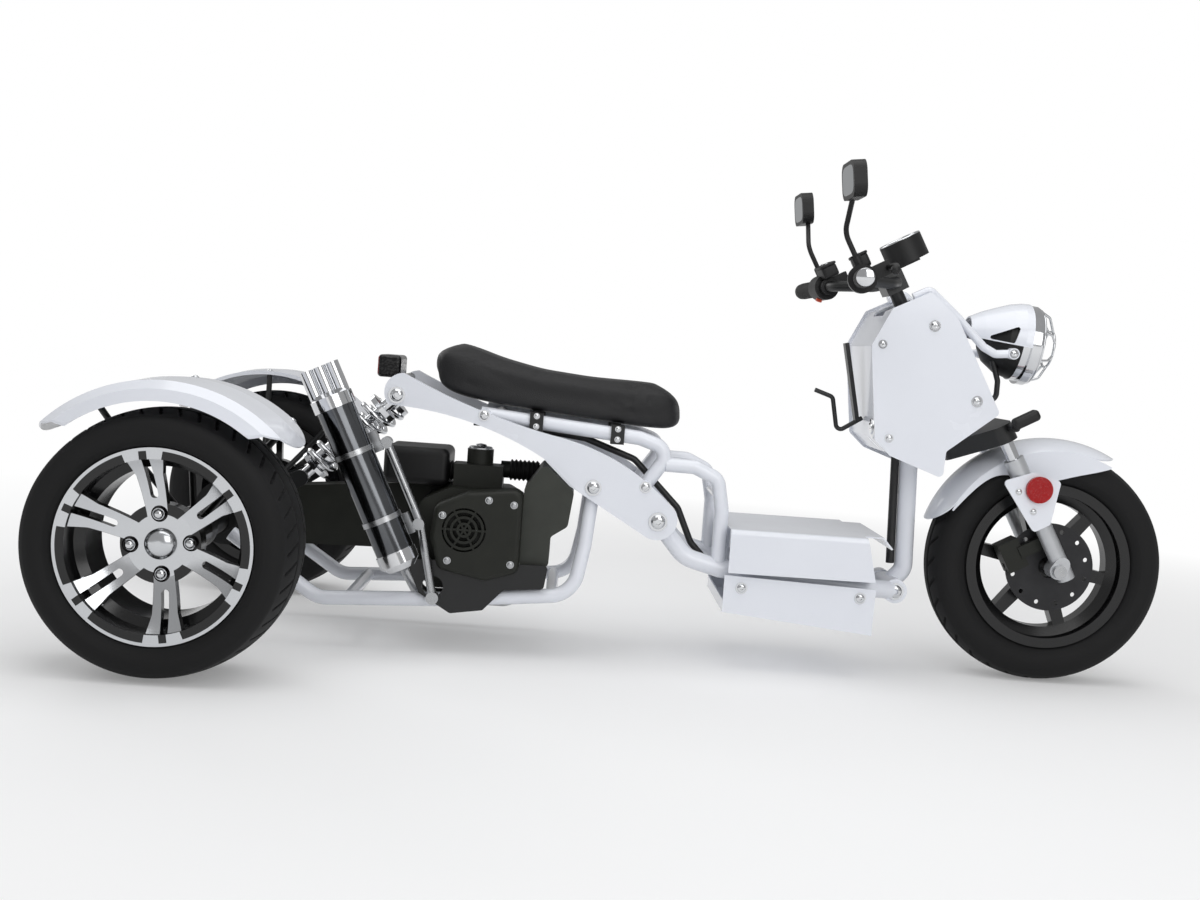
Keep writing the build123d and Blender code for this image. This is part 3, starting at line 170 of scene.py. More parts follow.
def emboss(made, cell_mm, strength, depth, **pattern):
    """Swaps a finish's grain for a Voronoi cell pattern, raised by depth."""
    tree = made.node_tree
    bump = tree.nodes["Principled BSDF"].inputs["Normal"].links[0].from_node
    tree.nodes.remove(bump.inputs["Height"].links[0].from_node)
    where = add(tree, "ShaderNodeTexCoord").outputs["Object"]
    cells = add(tree, "ShaderNodeTexVoronoi", {"Vector": where, "Scale": per_metre(cell_mm)}, **pattern)
    tree.links.new(cells.outputs[0], bump.inputs["Height"])
    bump.inputs["Strength"].default_value = strength
    bump.inputs["Distance"].default_value = depth
    return made


print("noise detail", BLOTCH_DETAIL, "in blotches and", GRAIN_DETAIL, "in grain")

# %% [markdown]
# Plain finishes. Most of the machine is white powder coat, black paint, black plastic, rubber or plating.
# Each could have its own node tree, but they differ only in numbers, so each is one row: two colours, the
# size of the blotches, the range of roughness, and the grain's size and depth.

# %% Plain finishes, one for each material on the machine
FINISHES = {
    # Powder coat: glossy, with the faint orange peel that baking leaves
    "white_paint": finish("powder_coat_white", "#E4E7EF", "#EAEDF4", 160, (0.22, 0.3), 3.0, 0.00012,
                          Coat_Weight=0.5, Coat_Roughness=0.08),
    # Satin enamel on steel brackets
    "black_steel": finish("satin_enamel_black", "#0D0E0F", "#151617", 60, (0.32, 0.45), 1.2, 0.0001),
    # Moulded polypropylene with a fine spark-eroded texture
    "black_plastic": finish("moulded_polypropylene", "#0E0E0F", "#151516", 50, (0.42, 0.55), 0.9, 0.0002,
                            Specular_IOR_Level=0.4),
    "grip_rubber": finish("nitrile_rubber", "#101010", "#191919", 30, (0.6, 0.75), 1.5, 0.0003),
    # Polished chrome plate: nearly a mirror, with faint hazing
    "bright_chrome": finish("chrome_plate", "#C9CBCE", "#DDDEE0", 40, (0.05, 0.13), 6.0, 0.00003,
                            Metallic=1.0),
    # Sand-cast aluminium under a dark engine enamel
    "cast_alloy": finish("engine_enamel_cast", "#161713", "#23251F", 35, (0.42, 0.58), 1.6, 0.0004,
                         Specular_IOR_Level=0.3),
    # Die-cast aluminium, lacquered silver
    "silver_alloy": finish("lacquered_aluminium", "#B4B6B9", "#CBCDD0", 50, (0.3, 0.42), 1.4, 0.0001,
                           Metallic=0.6),
    # Brake disc: steel browned by heat and dust
    "brake_steel": finish("brake_disc_steel", "#2C2C2D", "#3D3D3F", 30, (0.34, 0.5), 1.2, 0.0001,
                          Metallic=0.8),
    # Zinc-plated steel
    "bare_steel": finish("zinc_plate", "#A6A8AA", "#C2C3C5", 25, (0.2, 0.36), 1.0, 0.0001, Metallic=1.0),
    "black_wheel": finish("gloss_enamel_black", "#0A0A0B", "#101011", 90, (0.18, 0.28), 4.0, 0.00008),
    "tyre_rubber": finish("tyre_compound", "#0E0E0F", "#171718", 45, (0.62, 0.8), 1.3, 0.0003,
                          Specular_IOR_Level=0.3),
    # Extruded PVC sleeve round the wires
    "cable_jacket": finish("pvc_cable_sleeve", "#0E0E0F", "#171718", 25, (0.35, 0.5), 2.0, 0.0001),
    "grey_casting": finish("cylinder_cover_grey", "#2E302C", "#3F413C", 40, (0.4, 0.55), 1.5, 0.0003,
                           Specular_IOR_Level=0.3),
}
print(len(FINISHES), "plain finishes")

# %% [markdown]
# Rear wheels. The casting is sprayed black and then the spokes' dished outer faces are cut on a lathe. The
# bright faces could be picked one by one, but CAD hands over one mesh, so the finish works out where a point
# is on the wheel: its radius r, and how far it lies across the nearest of six spokes, r * sin(angle from that
# spoke). It is bright on the spokes, the hub's middle and the lip, where the surface looks outwards.

# %% Machined wheel finish
REAR_AXLE_X, REAR_AXLE_Z, REAR_WHEEL_Y = -0.829, 0.2285, 0.4425
SPOKE_TURN, SPOKE_STEP = math.radians(38.9), math.radians(60)
SPOKE_HALF = [(0.044, 0.0165), (0.118, 0.0215), (0.160, 0.0335)]    # radius and half width
SLOT_HALF = 0.0065
HUB_R, LIP_R = 0.050, 0.1600
MACHINED_FROM_Y = 0.4803    # the nuts' recesses lie deeper than this and keep the black
LOOKS_OUT = 0.62            # smallest share of a face's normal that points outwards


def machined_wheel():
    """Black enamel, bright metal on the spokes' outer faces, on the hub's middle and along the lip."""
    made = finish("machined_face_wheel", "#0A0A0B", "#121213", 80, (0.14, 0.24), 4.0, 0.00006)
    tree = made.node_tree
    coords = add(tree, "ShaderNodeTexCoord")
    place = add(tree, "ShaderNodeSeparateXYZ", {0: coords.outputs["Object"]}).outputs
    normal = add(tree, "ShaderNodeSeparateXYZ", {0: coords.outputs["Normal"]}).outputs
    x = calc(tree, "SUBTRACT", place["X"], REAR_AXLE_X)
    z = calc(tree, "SUBTRACT", place["Z"], REAR_AXLE_Z)
    squares = calc(tree, "ADD", calc(tree, "MULTIPLY", x, x), calc(tree, "MULTIPLY", z, z))
    radius = calc(tree, "SQRT", squares)
    turn = calc(tree, "SUBTRACT", calc(tree, "ARCTAN2", z, x), SPOKE_TURN - SPOKE_STEP / 2)
    in_step = calc(tree, "FLOORED_MODULO", turn, SPOKE_STEP)
    away = calc(tree, "ABSOLUTE", calc(tree, "SUBTRACT", in_step, SPOKE_STEP / 2))
    across = calc(tree, "MULTIPLY", radius, calc(tree, "SINE", away))
    half = SPOKE_HALF[0][1]
    for (near, low), (far, high) in zip(SPOKE_HALF, SPOKE_HALF[1:]):
        grown = add(tree, "ShaderNodeMapRange",
                    {"Value": radius, "From Min": near, "From Max": far, "To Max": high - low})
        half = calc(tree, "ADD", grown.outputs[0], half)
    beyond = calc(tree, "GREATER_THAN", radius, SPOKE_HALF[1][0])
    in_slot = calc(tree, "MULTIPLY", beyond, calc(tree, "LESS_THAN", across, SLOT_HALF))
    on_rib = calc(tree, "SUBTRACT", calc(tree, "LESS_THAN", across, half), in_slot)
    ends = calc(tree, "ADD", calc(tree, "LESS_THAN", radius, HUB_R), calc(tree, "GREATER_THAN", radius, LIP_R))
    facing = calc(tree, "MULTIPLY", normal["Y"], calc(tree, "SIGN", place["Y"]))
    outer = calc(tree, "GREATER_THAN", calc(tree, "ABSOLUTE", place["Y"]), MACHINED_FROM_Y)
    cut = calc(tree, "MULTIPLY", calc(tree, "GREATER_THAN", facing, LOOKS_OUT), outer)
    share = calc(tree, "MULTIPLY", cut, calc(tree, "MAXIMUM", on_rib, ends))
    return overlay(made, share, "#CDCFD2", 0.2, 1.0)


FINISHES["machined_wheel"] = machined_wheel()
print("machined wheel:", len(FINISHES["machined_wheel"].node_tree.nodes), "nodes")

# %% [markdown]
# Muffler. It is bright chrome all over, but its barrel is drawn as darker metal: a painted dark reflection
# that stands in for the dark surroundings the chrome mirrors. Its two end bands and the tips stay bright
# chrome. Two solids would do, but it is one piece, so the finish changes along it. The share of bright plate
# follows the distance along the barrel: the dot product of the place with the barrel's axis.

# %% Muffler finish
MUFFLER_LOW = np.array([-0.455, -0.236, 0.185])
MUFFLER_TOP = np.array([-0.601, -0.236, 0.484])
MUFFLER_AXIS = MUFFLER_TOP - MUFFLER_LOW
MUFFLER_BAND = 0.023        # length of a bright band
BAND_FADE = 0.001           # the painted dark reflection turns to bright chrome over this length


def banded_muffler():
    """Chrome whose barrel carries a painted dark reflection and turns bright within a band's length of either
    end.
    """
    # The two greys are a painted dark reflection: the chrome barrel drawn darker to stand for the dark
    # surroundings it mirrors.
    made = finish("chrome_with_painted_dark_reflection", "#55575A", "#6E7073", 60, (0.08, 0.18), 8.0, 0.00004,
                  Metallic=1.0)
    tree = made.node_tree
    where = add(tree, "ShaderNodeTexCoord").outputs["Object"]
    length = float(np.linalg.norm(MUFFLER_AXIS))
    axis = MUFFLER_AXIS / length
    along = add(tree, "ShaderNodeVectorMath", {0: where, 1: axis.tolist()}, operation="DOT_PRODUCT")
    middle = float(MUFFLER_LOW @ axis) + length / 2
    away = calc(tree, "ABSOLUTE", calc(tree, "SUBTRACT", along.outputs["Value"], middle))
    edge = length / 2 - MUFFLER_BAND
    share = add(tree, "ShaderNodeMapRange", {"Value": away, "From Min": edge - BAND_FADE, "From Max": edge})
    return overlay(made, share.outputs[0], "#D6D7D9", 0.1, 1.0)


FINISHES["banded_muffler"] = banded_muffler()
print("muffler barrel", round(float(np.linalg.norm(MUFFLER_AXIS)), 3), "m")

# %% [markdown]
# Clear parts. The lamp's lens is plain glass; the reflectors and the rear lamp are dyed acrylic whose back is
# moulded into small corner cubes. Thousands of cubes in the mesh would cost more than they show, so a cell
# pattern in the bump stands for them. The rear lamp is a black housing that is red only on its rear face.

# %% Glass and acrylic
def acrylic(name, dark, light, cube_mm):
    """Dyed acrylic with a cell pattern of corner cubes."""
    made = finish(name, dark, light, 30, (0.1, 0.18), 5.0, 0.00005, Specular_IOR_Level=0.35)
    return emboss(made, cube_mm, 0.6, 0.0012)


def rear_lamp():
    """A black housing whose face towards the rear, normal.x near -1, is red acrylic."""
    made = acrylic("rear_lamp_acrylic", "#121213", "#171718", 6.0)
    tree = made.node_tree
    normal = add(tree, "ShaderNodeTexCoord").outputs["Normal"]
    forwards = add(tree, "ShaderNodeSeparateXYZ", {0: normal}).outputs["X"]
    share = add(tree, "ShaderNodeMapRange", {"Value": forwards, "From Min": -0.6, "From Max": -0.75})
    return overlay(made, share.outputs[0], "#8E0E14", 0.12, 0.0)


FINISHES["red_reflector"] = acrylic("acrylic_red", "#930408", "#A9070B", 4.0)
FINISHES["tail_lamp_red"] = rear_lamp()
FINISHES["lamp_glass"] = finish("lamp_glass", "#F4F7F8", "#FBFDFD", 60, (0.02, 0.05), 9.0, 0.00005,
                                Transmission_Weight=1.0, IOR=1.49)
print("clear parts ready")

# %% [markdown]
# Seat vinyl. Coated fabric is embossed with a leather grain: small rounded cells of two to three millimetres
# with fine creases between them. Noise would look like sand; a Voronoi pattern has cells, and its distance
# to the nearest edge falls to nothing in the creases, so it is the height of the bump.

# %% Vinyl
VINYL_CELL_MM, VINYL_STRENGTH, VINYL_DEPTH = 2.6, 0.5, 0.0015
FINISHES["black_vinyl"] = emboss(
    finish("embossed_vinyl", "#111113", "#19191B", 80, (0.42, 0.55), 1.0, 0.0002, Specular_IOR_Level=0.35),
    VINYL_CELL_MM, VINYL_STRENGTH, VINYL_DEPTH, feature="DISTANCE_TO_EDGE")
print("vinyl cells of", VINYL_CELL_MM, "mm")

# %% [markdown]
# Each solid takes the finish of its slot in the record. A few solids in one slot are finished differently on
# the real machine, and the muffler's chrome barrel is given a painted dark reflection. The record could have a
# slot for each, but these are looks and not materials, so a short table overrides them here.

# %% Finishes onto the solids
OWN_FINISH = {
    "muffler": "banded_muffler",
    "wiring_looms": "cable_jacket",
    "fork_sliders": "silver_alloy",
    "cylinder_cowl": "grey_casting",
    "handlebar": "black_steel",
    "fan_cowl": "cast_alloy",
    "front_brake_disc": "brake_steel",
}
for row in frame["record"]["subparts"]:
    solid = NODES[row["node"]]
    solid.data.materials.clear()
    solid.data.materials.append(FINISHES[OWN_FINISH.get(row["node"], row["material_slot"])])

# %% [markdown]
# New pieces. Small parts such as nuts and springs could be built from Blender's primitives, but most of them
# are a profile turned about an axis, or a circle carried along a path. So each is a grid of points worked out
# with numpy, which knows whether it closes on itself in either direction. One function joins grids into a
# mesh, and another hangs the piece on the body that it moves with.

# %% Grids into pieces
MERGE_WITHIN = 1e-6
SHARP_FROM = math.radians(38)


def quads(nu, nv, loop_u, loop_v):
    """Corner numbers of the faces on a grid of nu by nv points; a looped direction closes on itself."""
    u = np.arange(nu if loop_u else nu - 1)[:, None]
    v = np.arange(nv if loop_v else nv - 1)[None, :]
    next_u, next_v = (u + 1) % nu, (v + 1) % nv
    corners = [u * nv + v, next_u * nv + v, next_u * nv + next_v, u * nv + next_v]
    return np.stack(corners, -1).reshape(-1, 4)


def mesh_from(name, grids):
    """One mesh from grids (points[nu, nv, 3], loop_u, loop_v), doubles merged and faces turned outwards."""
    verts, faces, start = [], [], 0
    for points, loop_u, loop_v in grids:
        nu, nv = points.shape[:2]
        verts.append(points.reshape(-1, 3))
        faces.append(quads(nu, nv, loop_u, loop_v) + start)
        start += nu * nv
    mesh = bpy.data.meshes.new(name)
    mesh.from_pydata(np.concatenate(verts).tolist(), [], np.concatenate(faces).tolist())
    work = bmesh.new()
    work.from_mesh(mesh)
    bmesh.ops.remove_doubles(work, verts=work.verts, dist=MERGE_WITHIN)
    bmesh.ops.recalc_face_normals(work, faces=work.faces)
    work.to_mesh(mesh)
    work.free()
    mesh.shade_smooth()
    mesh.set_sharp_from_angle(angle=SHARP_FROM)
    return mesh


def piece(name, grids, material, body):
    """Makes a piece from grids, finishes it and lets it ride on a body."""
    made = link(bpy.data.objects.new(name, mesh_from(name, grids)))
    made.data.materials.append(material)
    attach(made, body)
    print(name, len(made.data.polygons), "faces")
    return made


print("edges sharper than", round(math.degrees(SHARP_FROM)), "degrees stay crisp")

# %% Turned and swept grids, and the steering's own frame
OFF_AXIS = (0.31, 0.95, 0.05)       # a direction that no turned piece's axis follows
RAKE = math.radians(29.0)
AXIS_FOOT = 0.900                   # where the steering axis meets the ground


def unit(vectors):
    """Vectors divided by their lengths."""
    return vectors / np.linalg.norm(vectors, axis=-1, keepdims=True)


def square_to(axis, reference):
    """The unit axis, and two unit directions square to it and to each other."""
    axis = unit(np.asarray(axis, float))
    side = unit(np.cross(axis, reference))
    return axis, side, np.cross(axis, side)


def full_turn(count):
    """Angles of a whole turn in even steps, without its end."""
    return np.linspace(0, 2 * np.pi, count, endpoint=False)


def revolved(profile, centre, axis, count=48):
    """A profile of (distance along the axis, radius) turned about an axis through centre."""
    axis, side, other = square_to(axis, OFF_AXIS)
    angle = full_turn(count)[:, None, None]
    along, radius = np.asarray(profile, float).T[:, None, :, None]
    points = np.asarray(centre) + along * axis + radius * (np.cos(angle) * side + np.sin(angle) * other)
    return points, True, False


def swept(path, radius, reference, sides):
    """A circle carried along a path, standing across its direction; reference is never along the path."""
    direction = unit(np.gradient(path, axis=0))
    side = unit(np.cross(direction, reference))
    other = np.cross(direction, side)
    angle = full_turn(sides)[None, :, None]
    points = path[:, None] + radius * (np.cos(angle) * side[:, None] + np.sin(angle) * other[:, None])
    return points, False, True


def steered(points):
    """Points (ahead of the steering axis, left, along it) turned by the rake into the machine's frame."""
    t, y, s = np.moveaxis(np.asarray(points, float), -1, 0)
    return np.stack([AXIS_FOOT + t * math.cos(RAKE) - s * math.sin(RAKE), y,
                     t * math.sin(RAKE) + s * math.cos(RAKE)], -1)


def steered_way(direction):
    """A direction in the steering's frame as one in the machine's frame."""
    return steered(direction) - steered((0, 0, 0))


print("steering axis at 0.7 m:", steered((0, 0, 0.7)).round(4))

# %% [markdown]
# Tyres. A tyre is a ring whose cross-section runs from bead to bead: a short flange, a bulged sidewall, a
# rounded shoulder and a crowned tread. Tread blocks could be modelled one by one and copied round, but a road
# tread is mostly smooth, so the ring is fine enough to lower its crown where a groove passes: two grooves run
# round the tyre, and slanting ones run from them towards the shoulders. Fine rings step the sidewall.

# %% Tyre surface
BEAD_R, BEAD_FOOT = 0.1524, 0.006       # a 12 inch rim, and the flat foot that grips it
FLANGE_RISE, CROWN_DROP = 0.014, 0.011  # sidewall above the bead, tread's edge below its middle
WALL_COUNT, CROWN_COUNT = 22, 70        # points on each sidewall and across the tread
RING_AT = 0.26                          # the ring grooves' place, as a share of half the tread
RING_HALF = (0.0022, 0.0042)            # half width at a ring groove's floor and at its top
SLANT_HALF = (0.04, 0.08)               # the same for the slanting ones, as a share of their spacing
SLANT_FROM, SLANT_TO = (0.30, 0.36), (0.80, 0.90)
SLANT_LEAN, SIDE_SHIFT = 0.9, 0.25      # how far they run back, and how the two sides are staggered
WALL_STEP, WALL_PITCH = 0.0006, 0.0075  # fine rings on the sidewall


def arc_through(a, b, c, count):
    """Points on the circle through three points of a plane, from a to c by way of b."""
    a, b, c = (complex(*p) for p in (a, b, c))
    w = (c - a) / (b - a)
    centre = (b - a) * (w - abs(w) ** 2) / (2j * w.imag) + a
    start = np.angle(a - centre)
    turn = np.angle((c - centre) / (a - centre))
    middle = np.angle((b - centre) / (a - centre))
    if turn * middle < 0:
        turn += 2 * np.pi * np.sign(middle)
    points = centre + abs(a - centre) * np.exp(1j * (start + np.linspace(0, turn, count)))
    return np.stack([points.real, points.imag], -1)


def smooth_step(low, high, x):
    """Zero below low, one above high and an even ease between them: t * t * (3 - 2 * t)."""
    t = np.clip((x - low) / (high - low), 0, 1)
    return t * t * (3 - 2 * t)


def tyre(name, node, body, centre, outer_r, width, tread_w, rim_w, blocks, groove_depth, around):
    """Ring of cross-sections: radius and side come from three arcs, and radius - depth cuts the grooves."""
    flange_r, shoulder_r = BEAD_R + FLANGE_RISE, outer_r - CROWN_DROP
    waist_r = (flange_r + shoulder_r) / 2
    seat, half, tread = rim_w / 2, width / 2, tread_w / 2
    wall = arc_through((flange_r, seat), (waist_r, half), (shoulder_r, tread), WALL_COUNT)
    crown = arc_through((shoulder_r, tread), (outer_r, 0), (shoulder_r, -tread), CROWN_COUNT)
    other = arc_through((shoulder_r, -tread), (waist_r, -half), (flange_r, -seat), WALL_COUNT)
    outline = np.concatenate([[(BEAD_R, seat - BEAD_FOOT), (BEAD_R, seat)], wall, crown[1:-1], other,
                              [(BEAD_R, -seat), (BEAD_R, -seat + BEAD_FOOT)]])
    radius, side = outline.T[:, None, :]
    angle = full_turn(around)[:, None]
    on_tread = smooth_step(shoulder_r - 0.006, shoulder_r + 0.004, radius)
    ring_groove = 1 - smooth_step(*RING_HALF, np.abs(np.abs(side) - RING_AT * tread))
    reach = np.abs(side) / tread
    phase = (angle * blocks / (2 * np.pi) + SLANT_LEAN * reach + SIDE_SHIFT * np.sign(side)) % 1.0
    slant = (1 - smooth_step(*SLANT_HALF, np.abs(phase - 0.5))) * smooth_step(*SLANT_FROM, reach)
    slant = slant * (1 - smooth_step(*SLANT_TO, reach))
    depth = groove_depth * np.maximum(ring_groove, slant) * on_tread
    wave = np.abs(np.sin((radius - flange_r) * np.pi / WALL_PITCH))
    ribs = WALL_STEP * (wave > 0.55) * (1 - on_tread) * smooth_step(flange_r, flange_r + 0.004, radius)
    x = centre[0] + (radius - depth) * np.cos(angle)
    y = centre[1] + side + np.sign(side) * ribs + 0 * angle
    z = centre[2] + (radius - depth) * np.sin(angle)
    ring = np.stack([x, y, z], -1)
    made = piece(name, [(ring, True, True)], FINISHES["tyre_rubber"], body)
    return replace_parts(made, node)


print("grooves slant over", SLANT_FROM[0], "to", SLANT_TO[1], "of half the tread")

# %% Three tyres
FRONT_AXLE = (0.821, 0.0, 0.2365)
FRONT_TYRE = dict(outer_r=0.2365, width=0.120, tread_w=0.092, rim_w=0.084, blocks=34, groove_depth=0.005,
                  around=680)
REAR_TYRE = dict(outer_r=0.2285, width=0.215, tread_w=0.186, rim_w=0.168, blocks=44, groove_depth=0.0055,
                 around=740)
SIDES = (("right", -1), ("left", 1))
tyre("front_tread", "front_tyre", "front_wheel", FRONT_AXLE, **FRONT_TYRE)
for side_name, sign in SIDES:
    tyre(f"rear_tread_{side_name}", f"rear_tyre_{side_name}", f"rear_wheel_{side_name}",
         (REAR_AXLE_X, sign * REAR_WHEEL_Y, REAR_AXLE_Z), **REAR_TYRE)

# %% [markdown]
# Seat. The long saddle is a foam block under stretched vinyl: a low dished middle, a raised tail and a nose
# that turns down. A box with rounded edges would look like wood. Here each cross-section is a superellipse,
# rounder above its middle and nearly square below, whose width, top and bottom change along the length, and
# cloth under pressure then swells the cover a few millimetres, as foam does.

# %% Seat shape
SEAT = np.array([
    # x, top, low, half width
    (-0.428, 0.583, 0.516, 0.106), (-0.412, 0.590, 0.507, 0.113), (-0.386, 0.594, 0.499, 0.116),
    (-0.350, 0.584, 0.492, 0.117), (-0.300, 0.568, 0.485, 0.117), (-0.220, 0.551, 0.477, 0.116),
    (-0.120, 0.542, 0.469, 0.113), (-0.020, 0.540, 0.460, 0.104), (0.030, 0.537, 0.459, 0.096),
    (0.050, 0.527, 0.461, 0.091), (0.062, 0.514, 0.468, 0.086),
])
SEAT_X, SEAT_TOP, SEAT_LOW, SEAT_HALF = SEAT.T
TOP_SQUARE, LOW_SQUARE = 4.4, 9.0       # superellipse powers above and below the middle
END_SQUARE = 34                         # power of the curve that closes both ends
TAIL_LEAN, TAIL_RUN = 0.22, 0.09        # the tail's face leans back by this share of its height
EASE_HALF, EASE_COUNT = 0.022, 23       # window that rounds the table's corners


def eased(x, xs, ys):
    """A smooth curve through a table: straight lines between its points, averaged over a short window."""
    window = np.linspace(-EASE_HALF, EASE_HALF, EASE_COUNT)
    return np.mean([np.interp(x + w, xs, ys) for w in window], axis=0)


def seat_sections(length_count, around):
    """Superellipse sections: side = w * cos^(2/n), height = h * sin^(2/n), n by half, closed at both ends."""
    run = 0.5 - 0.5 * np.cos(np.pi * np.linspace(0, 1, length_count))
    x = SEAT_X[0] + (SEAT_X[-1] - SEAT_X[0]) * run
    cap = np.clip(1 - np.abs(2 * run - 1) ** END_SQUARE, 0, 1) ** 0.5
    half = eased(x, SEAT_X, SEAT_HALF) * cap
    top, low = eased(x, SEAT_X, SEAT_TOP), eased(x, SEAT_X, SEAT_LOW)
    middle, rise = (top + low) / 2, (top - low) / 2 * cap
    angle = full_turn(around)[None, :]
    c, s = np.cos(angle), np.sin(angle)
    power = 2 / np.where(s >= 0, TOP_SQUARE, LOW_SQUARE)
    y = half[:, None] * np.sign(c) * np.abs(c) ** power
    z = middle[:, None] + rise[:, None] * np.sign(s) * np.abs(s) ** power
    tail = 1 - smooth_step(0.0, TAIL_RUN, x - SEAT_X[0])
    lean = TAIL_LEAN * tail[:, None] * (z - middle[:, None])
    return np.stack([x[:, None] - lean, y, z], -1)


print("seat", round(SEAT_X[-1] - SEAT_X[0], 3), "m long")

# %% Seat cover
VOXEL = 0.005
PRESSURE = 4.0
SWELL_CAP, SWELL_FRAMES = 0.007, 20
FLAT_BELOW, FREE_ABOVE = 0.012, 0.04    # heights over the underside: still below, free to swell above


def places(mesh):
    """A mesh's points as an array."""
    flat = np.zeros(len(mesh.vertices) * 3, np.float32)
    mesh.vertices.foreach_get("co", flat)
    return flat.reshape(-1, 3)


def swell(cover):
    """Cloth under pressure, each point kept within a cap of its start; the underside stays flat."""
    remesh = cover.modifiers.new("remesh", "REMESH")
    remesh.mode = "VOXEL"
    remesh.voxel_size = VOXEL
    depsgraph = bpy.context.evaluated_depsgraph_get()
    cover.data = bpy.data.meshes.new_from_object(cover.evaluated_get(depsgraph))
    cover.modifiers.clear()
    start = places(cover.data)
    cloth = cover.modifiers.new("cloth", "CLOTH")
    cloth.settings.use_pressure = True
    cloth.settings.uniform_pressure_force = PRESSURE
    cloth.settings.effector_weights.gravity = 0.0
    for step in range(1, SWELL_FRAMES + 1):
        bpy.context.scene.frame_set(step)
    depsgraph = bpy.context.evaluated_depsgraph_get()
    shift = places(cover.evaluated_get(depsgraph).data) - start
    cover.modifiers.clear()
    bpy.context.scene.frame_set(1)
    reach = np.linalg.norm(shift, axis=1, keepdims=True)
    over_low = start[:, 2] - eased(start[:, 0], SEAT_X, SEAT_LOW)
    free = smooth_step(FLAT_BELOW, FREE_ABOVE, over_low)[:, None]
    shift *= free * np.minimum(1, SWELL_CAP / np.maximum(reach, 1e-9))
    cover.data.vertices.foreach_set("co", (start + shift).astype(np.float32).ravel())
    cover.data.update()
    return float(np.abs(shift).max())


cover_grid = (seat_sections(90, 72), False, True)
seat = piece("seat_cover", [cover_grid], FINISHES["black_vinyl"], "frame")
print("seat swelled by at most", round(swell(seat) * 1000, 1), "mm")
finer = seat.modifiers.new("finer", "SUBSURF")
finer.levels = finer.render_levels = 1
seat.data.shade_smooth()
if not seat.data.materials:             # a remeshed cover has lost its finish
    seat.data.materials.append(FINISHES["black_vinyl"])
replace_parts(seat, "seat")

# %% [markdown]
# Springs. Each rear shock is a chrome coil over a damper. A curve object with a bevel could draw the wire, but
# the grids already sweep a circle along a path. The path is a helix about the line between the two eyes: a
# circle about that line whose centre climbs one pitch each turn.

# %% Rear shocks
SHOCK_LOW, SHOCK_TOP = (-0.668, 0.318), (-0.491, 0.491)     # x and z of the eyes
SHOCK_Y = 0.110
SPRING_R, WIRE_R, SPRING_TURNS = 0.0290, 0.0052, 7
STEPS_A_TURN, WIRE_SIDES = 34, 10
SPRING_FROM, SPRING_SHORT = 0.041, 0.047                    # the coil's ends, from the lower and upper eye
ACROSS = np.array([0.0, 1.0, 0.0])
EYE = [(-0.012, 0.0), (-0.012, 0.013), (-0.010, 0.015), (0.010, 0.015), (0.012, 0.013), (0.012, 0.0)]
PIN = [(-0.0198, 0.0), (-0.0198, 0.009), (0.0198, 0.009), (0.0198, 0.0)]


def spring(low, top, start, end):
    """Wire along low + axis * climb + R * (cos(turn) * side + sin(turn) * other)."""
    axis = unit(top - low)
    other = np.cross(axis, ACROSS)
    turn = np.linspace(0, 2 * np.pi * SPRING_TURNS, STEPS_A_TURN * SPRING_TURNS)[:, None]
    climb = start + (end - start) * turn / turn[-1]
    path = low + axis * climb + SPRING_R * (np.cos(turn) * ACROSS + np.sin(turn) * other)
    return swept(path, WIRE_R, axis, WIRE_SIDES)


def shock(sign):
    """Damper tube with its spring seats, the two eyes, the upper pin and the coil of one shock."""
    low, top = (np.array([x, sign * SHOCK_Y, z]) for x, z in (SHOCK_LOW, SHOCK_TOP))
    axis, length = unit(top - low), np.linalg.norm(top - low)
    damper = [(0.010, 0.0), (0.010, 0.011), (0.030, 0.011), (0.032, 0.031), (0.040, 0.031), (0.042, 0.019),
              (0.110, 0.019), (0.112, 0.008), (length - 0.048, 0.008), (length - 0.046, 0.031),
              (length - 0.036, 0.031), (length - 0.034, 0.012), (length - 0.008, 0.012),
              (length - 0.008, 0.0)]
    return [revolved(damper, low, axis), revolved(EYE, low, ACROSS), revolved(EYE, top, ACROSS),
            revolved(PIN, top, ACROSS), spring(low, top, SPRING_FROM, length - SPRING_SHORT)]


shocks = piece("rear_springs", shock(-1) + shock(1), FINISHES["bright_chrome"], "frame")
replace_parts(shocks, "rear_shocks")

# %% [markdown]
# Bolt heads. Button-head screws hold the panels, the tray and the arms. A plain cylinder would read as a
# rivet, so a head is a low dome with a hexagon socket: a profile turned about the screw's axis, whose inner
# rings are pulled out to a hexagon. All heads are alike, so a table gives only their places and sizes.

# %% One bolt head
HEAD_PROFILE = np.array([
    # rise and reach of each ring, in head radii: socket, dome, washer
    (0.28, 0.0), (0.28, 0.42), (0.62, 0.42), (0.60, 0.62), (0.42, 0.9), (0.2, 1.0), (0.2, 1.3), (-0.1, 1.3),
])
SOCKET_RINGS = 3
HEAD_SIDES = 36
OFF_SCREW = (0.31, 0.2, 0.93)           # a direction that no screw's axis follows


def bolt_head(centre, axis, radius):
    """Rings about the axis; a socket ring's radius is r * cos(30) / cos(angle from its nearest flat)."""
    axis, side, other = square_to(axis, OFF_SCREW)
    rise, reach = radius * HEAD_PROFILE.T
    angle = full_turn(HEAD_SIDES)[:, None]
    hexagon = math.cos(math.pi / 6) / np.cos(angle % (math.pi / 3) - math.pi / 6)
    pull = np.where(np.arange(len(reach))[None, :] < SOCKET_RINGS, hexagon, 1.0)
    spread = (reach[None, :] * pull)[..., None]
    points = np.asarray(centre) + rise[None, :, None] * axis
    points = points + spread * (np.cos(angle)[..., None] * side + np.sin(angle)[..., None] * other)
    return points, True, False


print("a head of 10 mm has", len(HEAD_PROFILE) * HEAD_SIDES, "points")

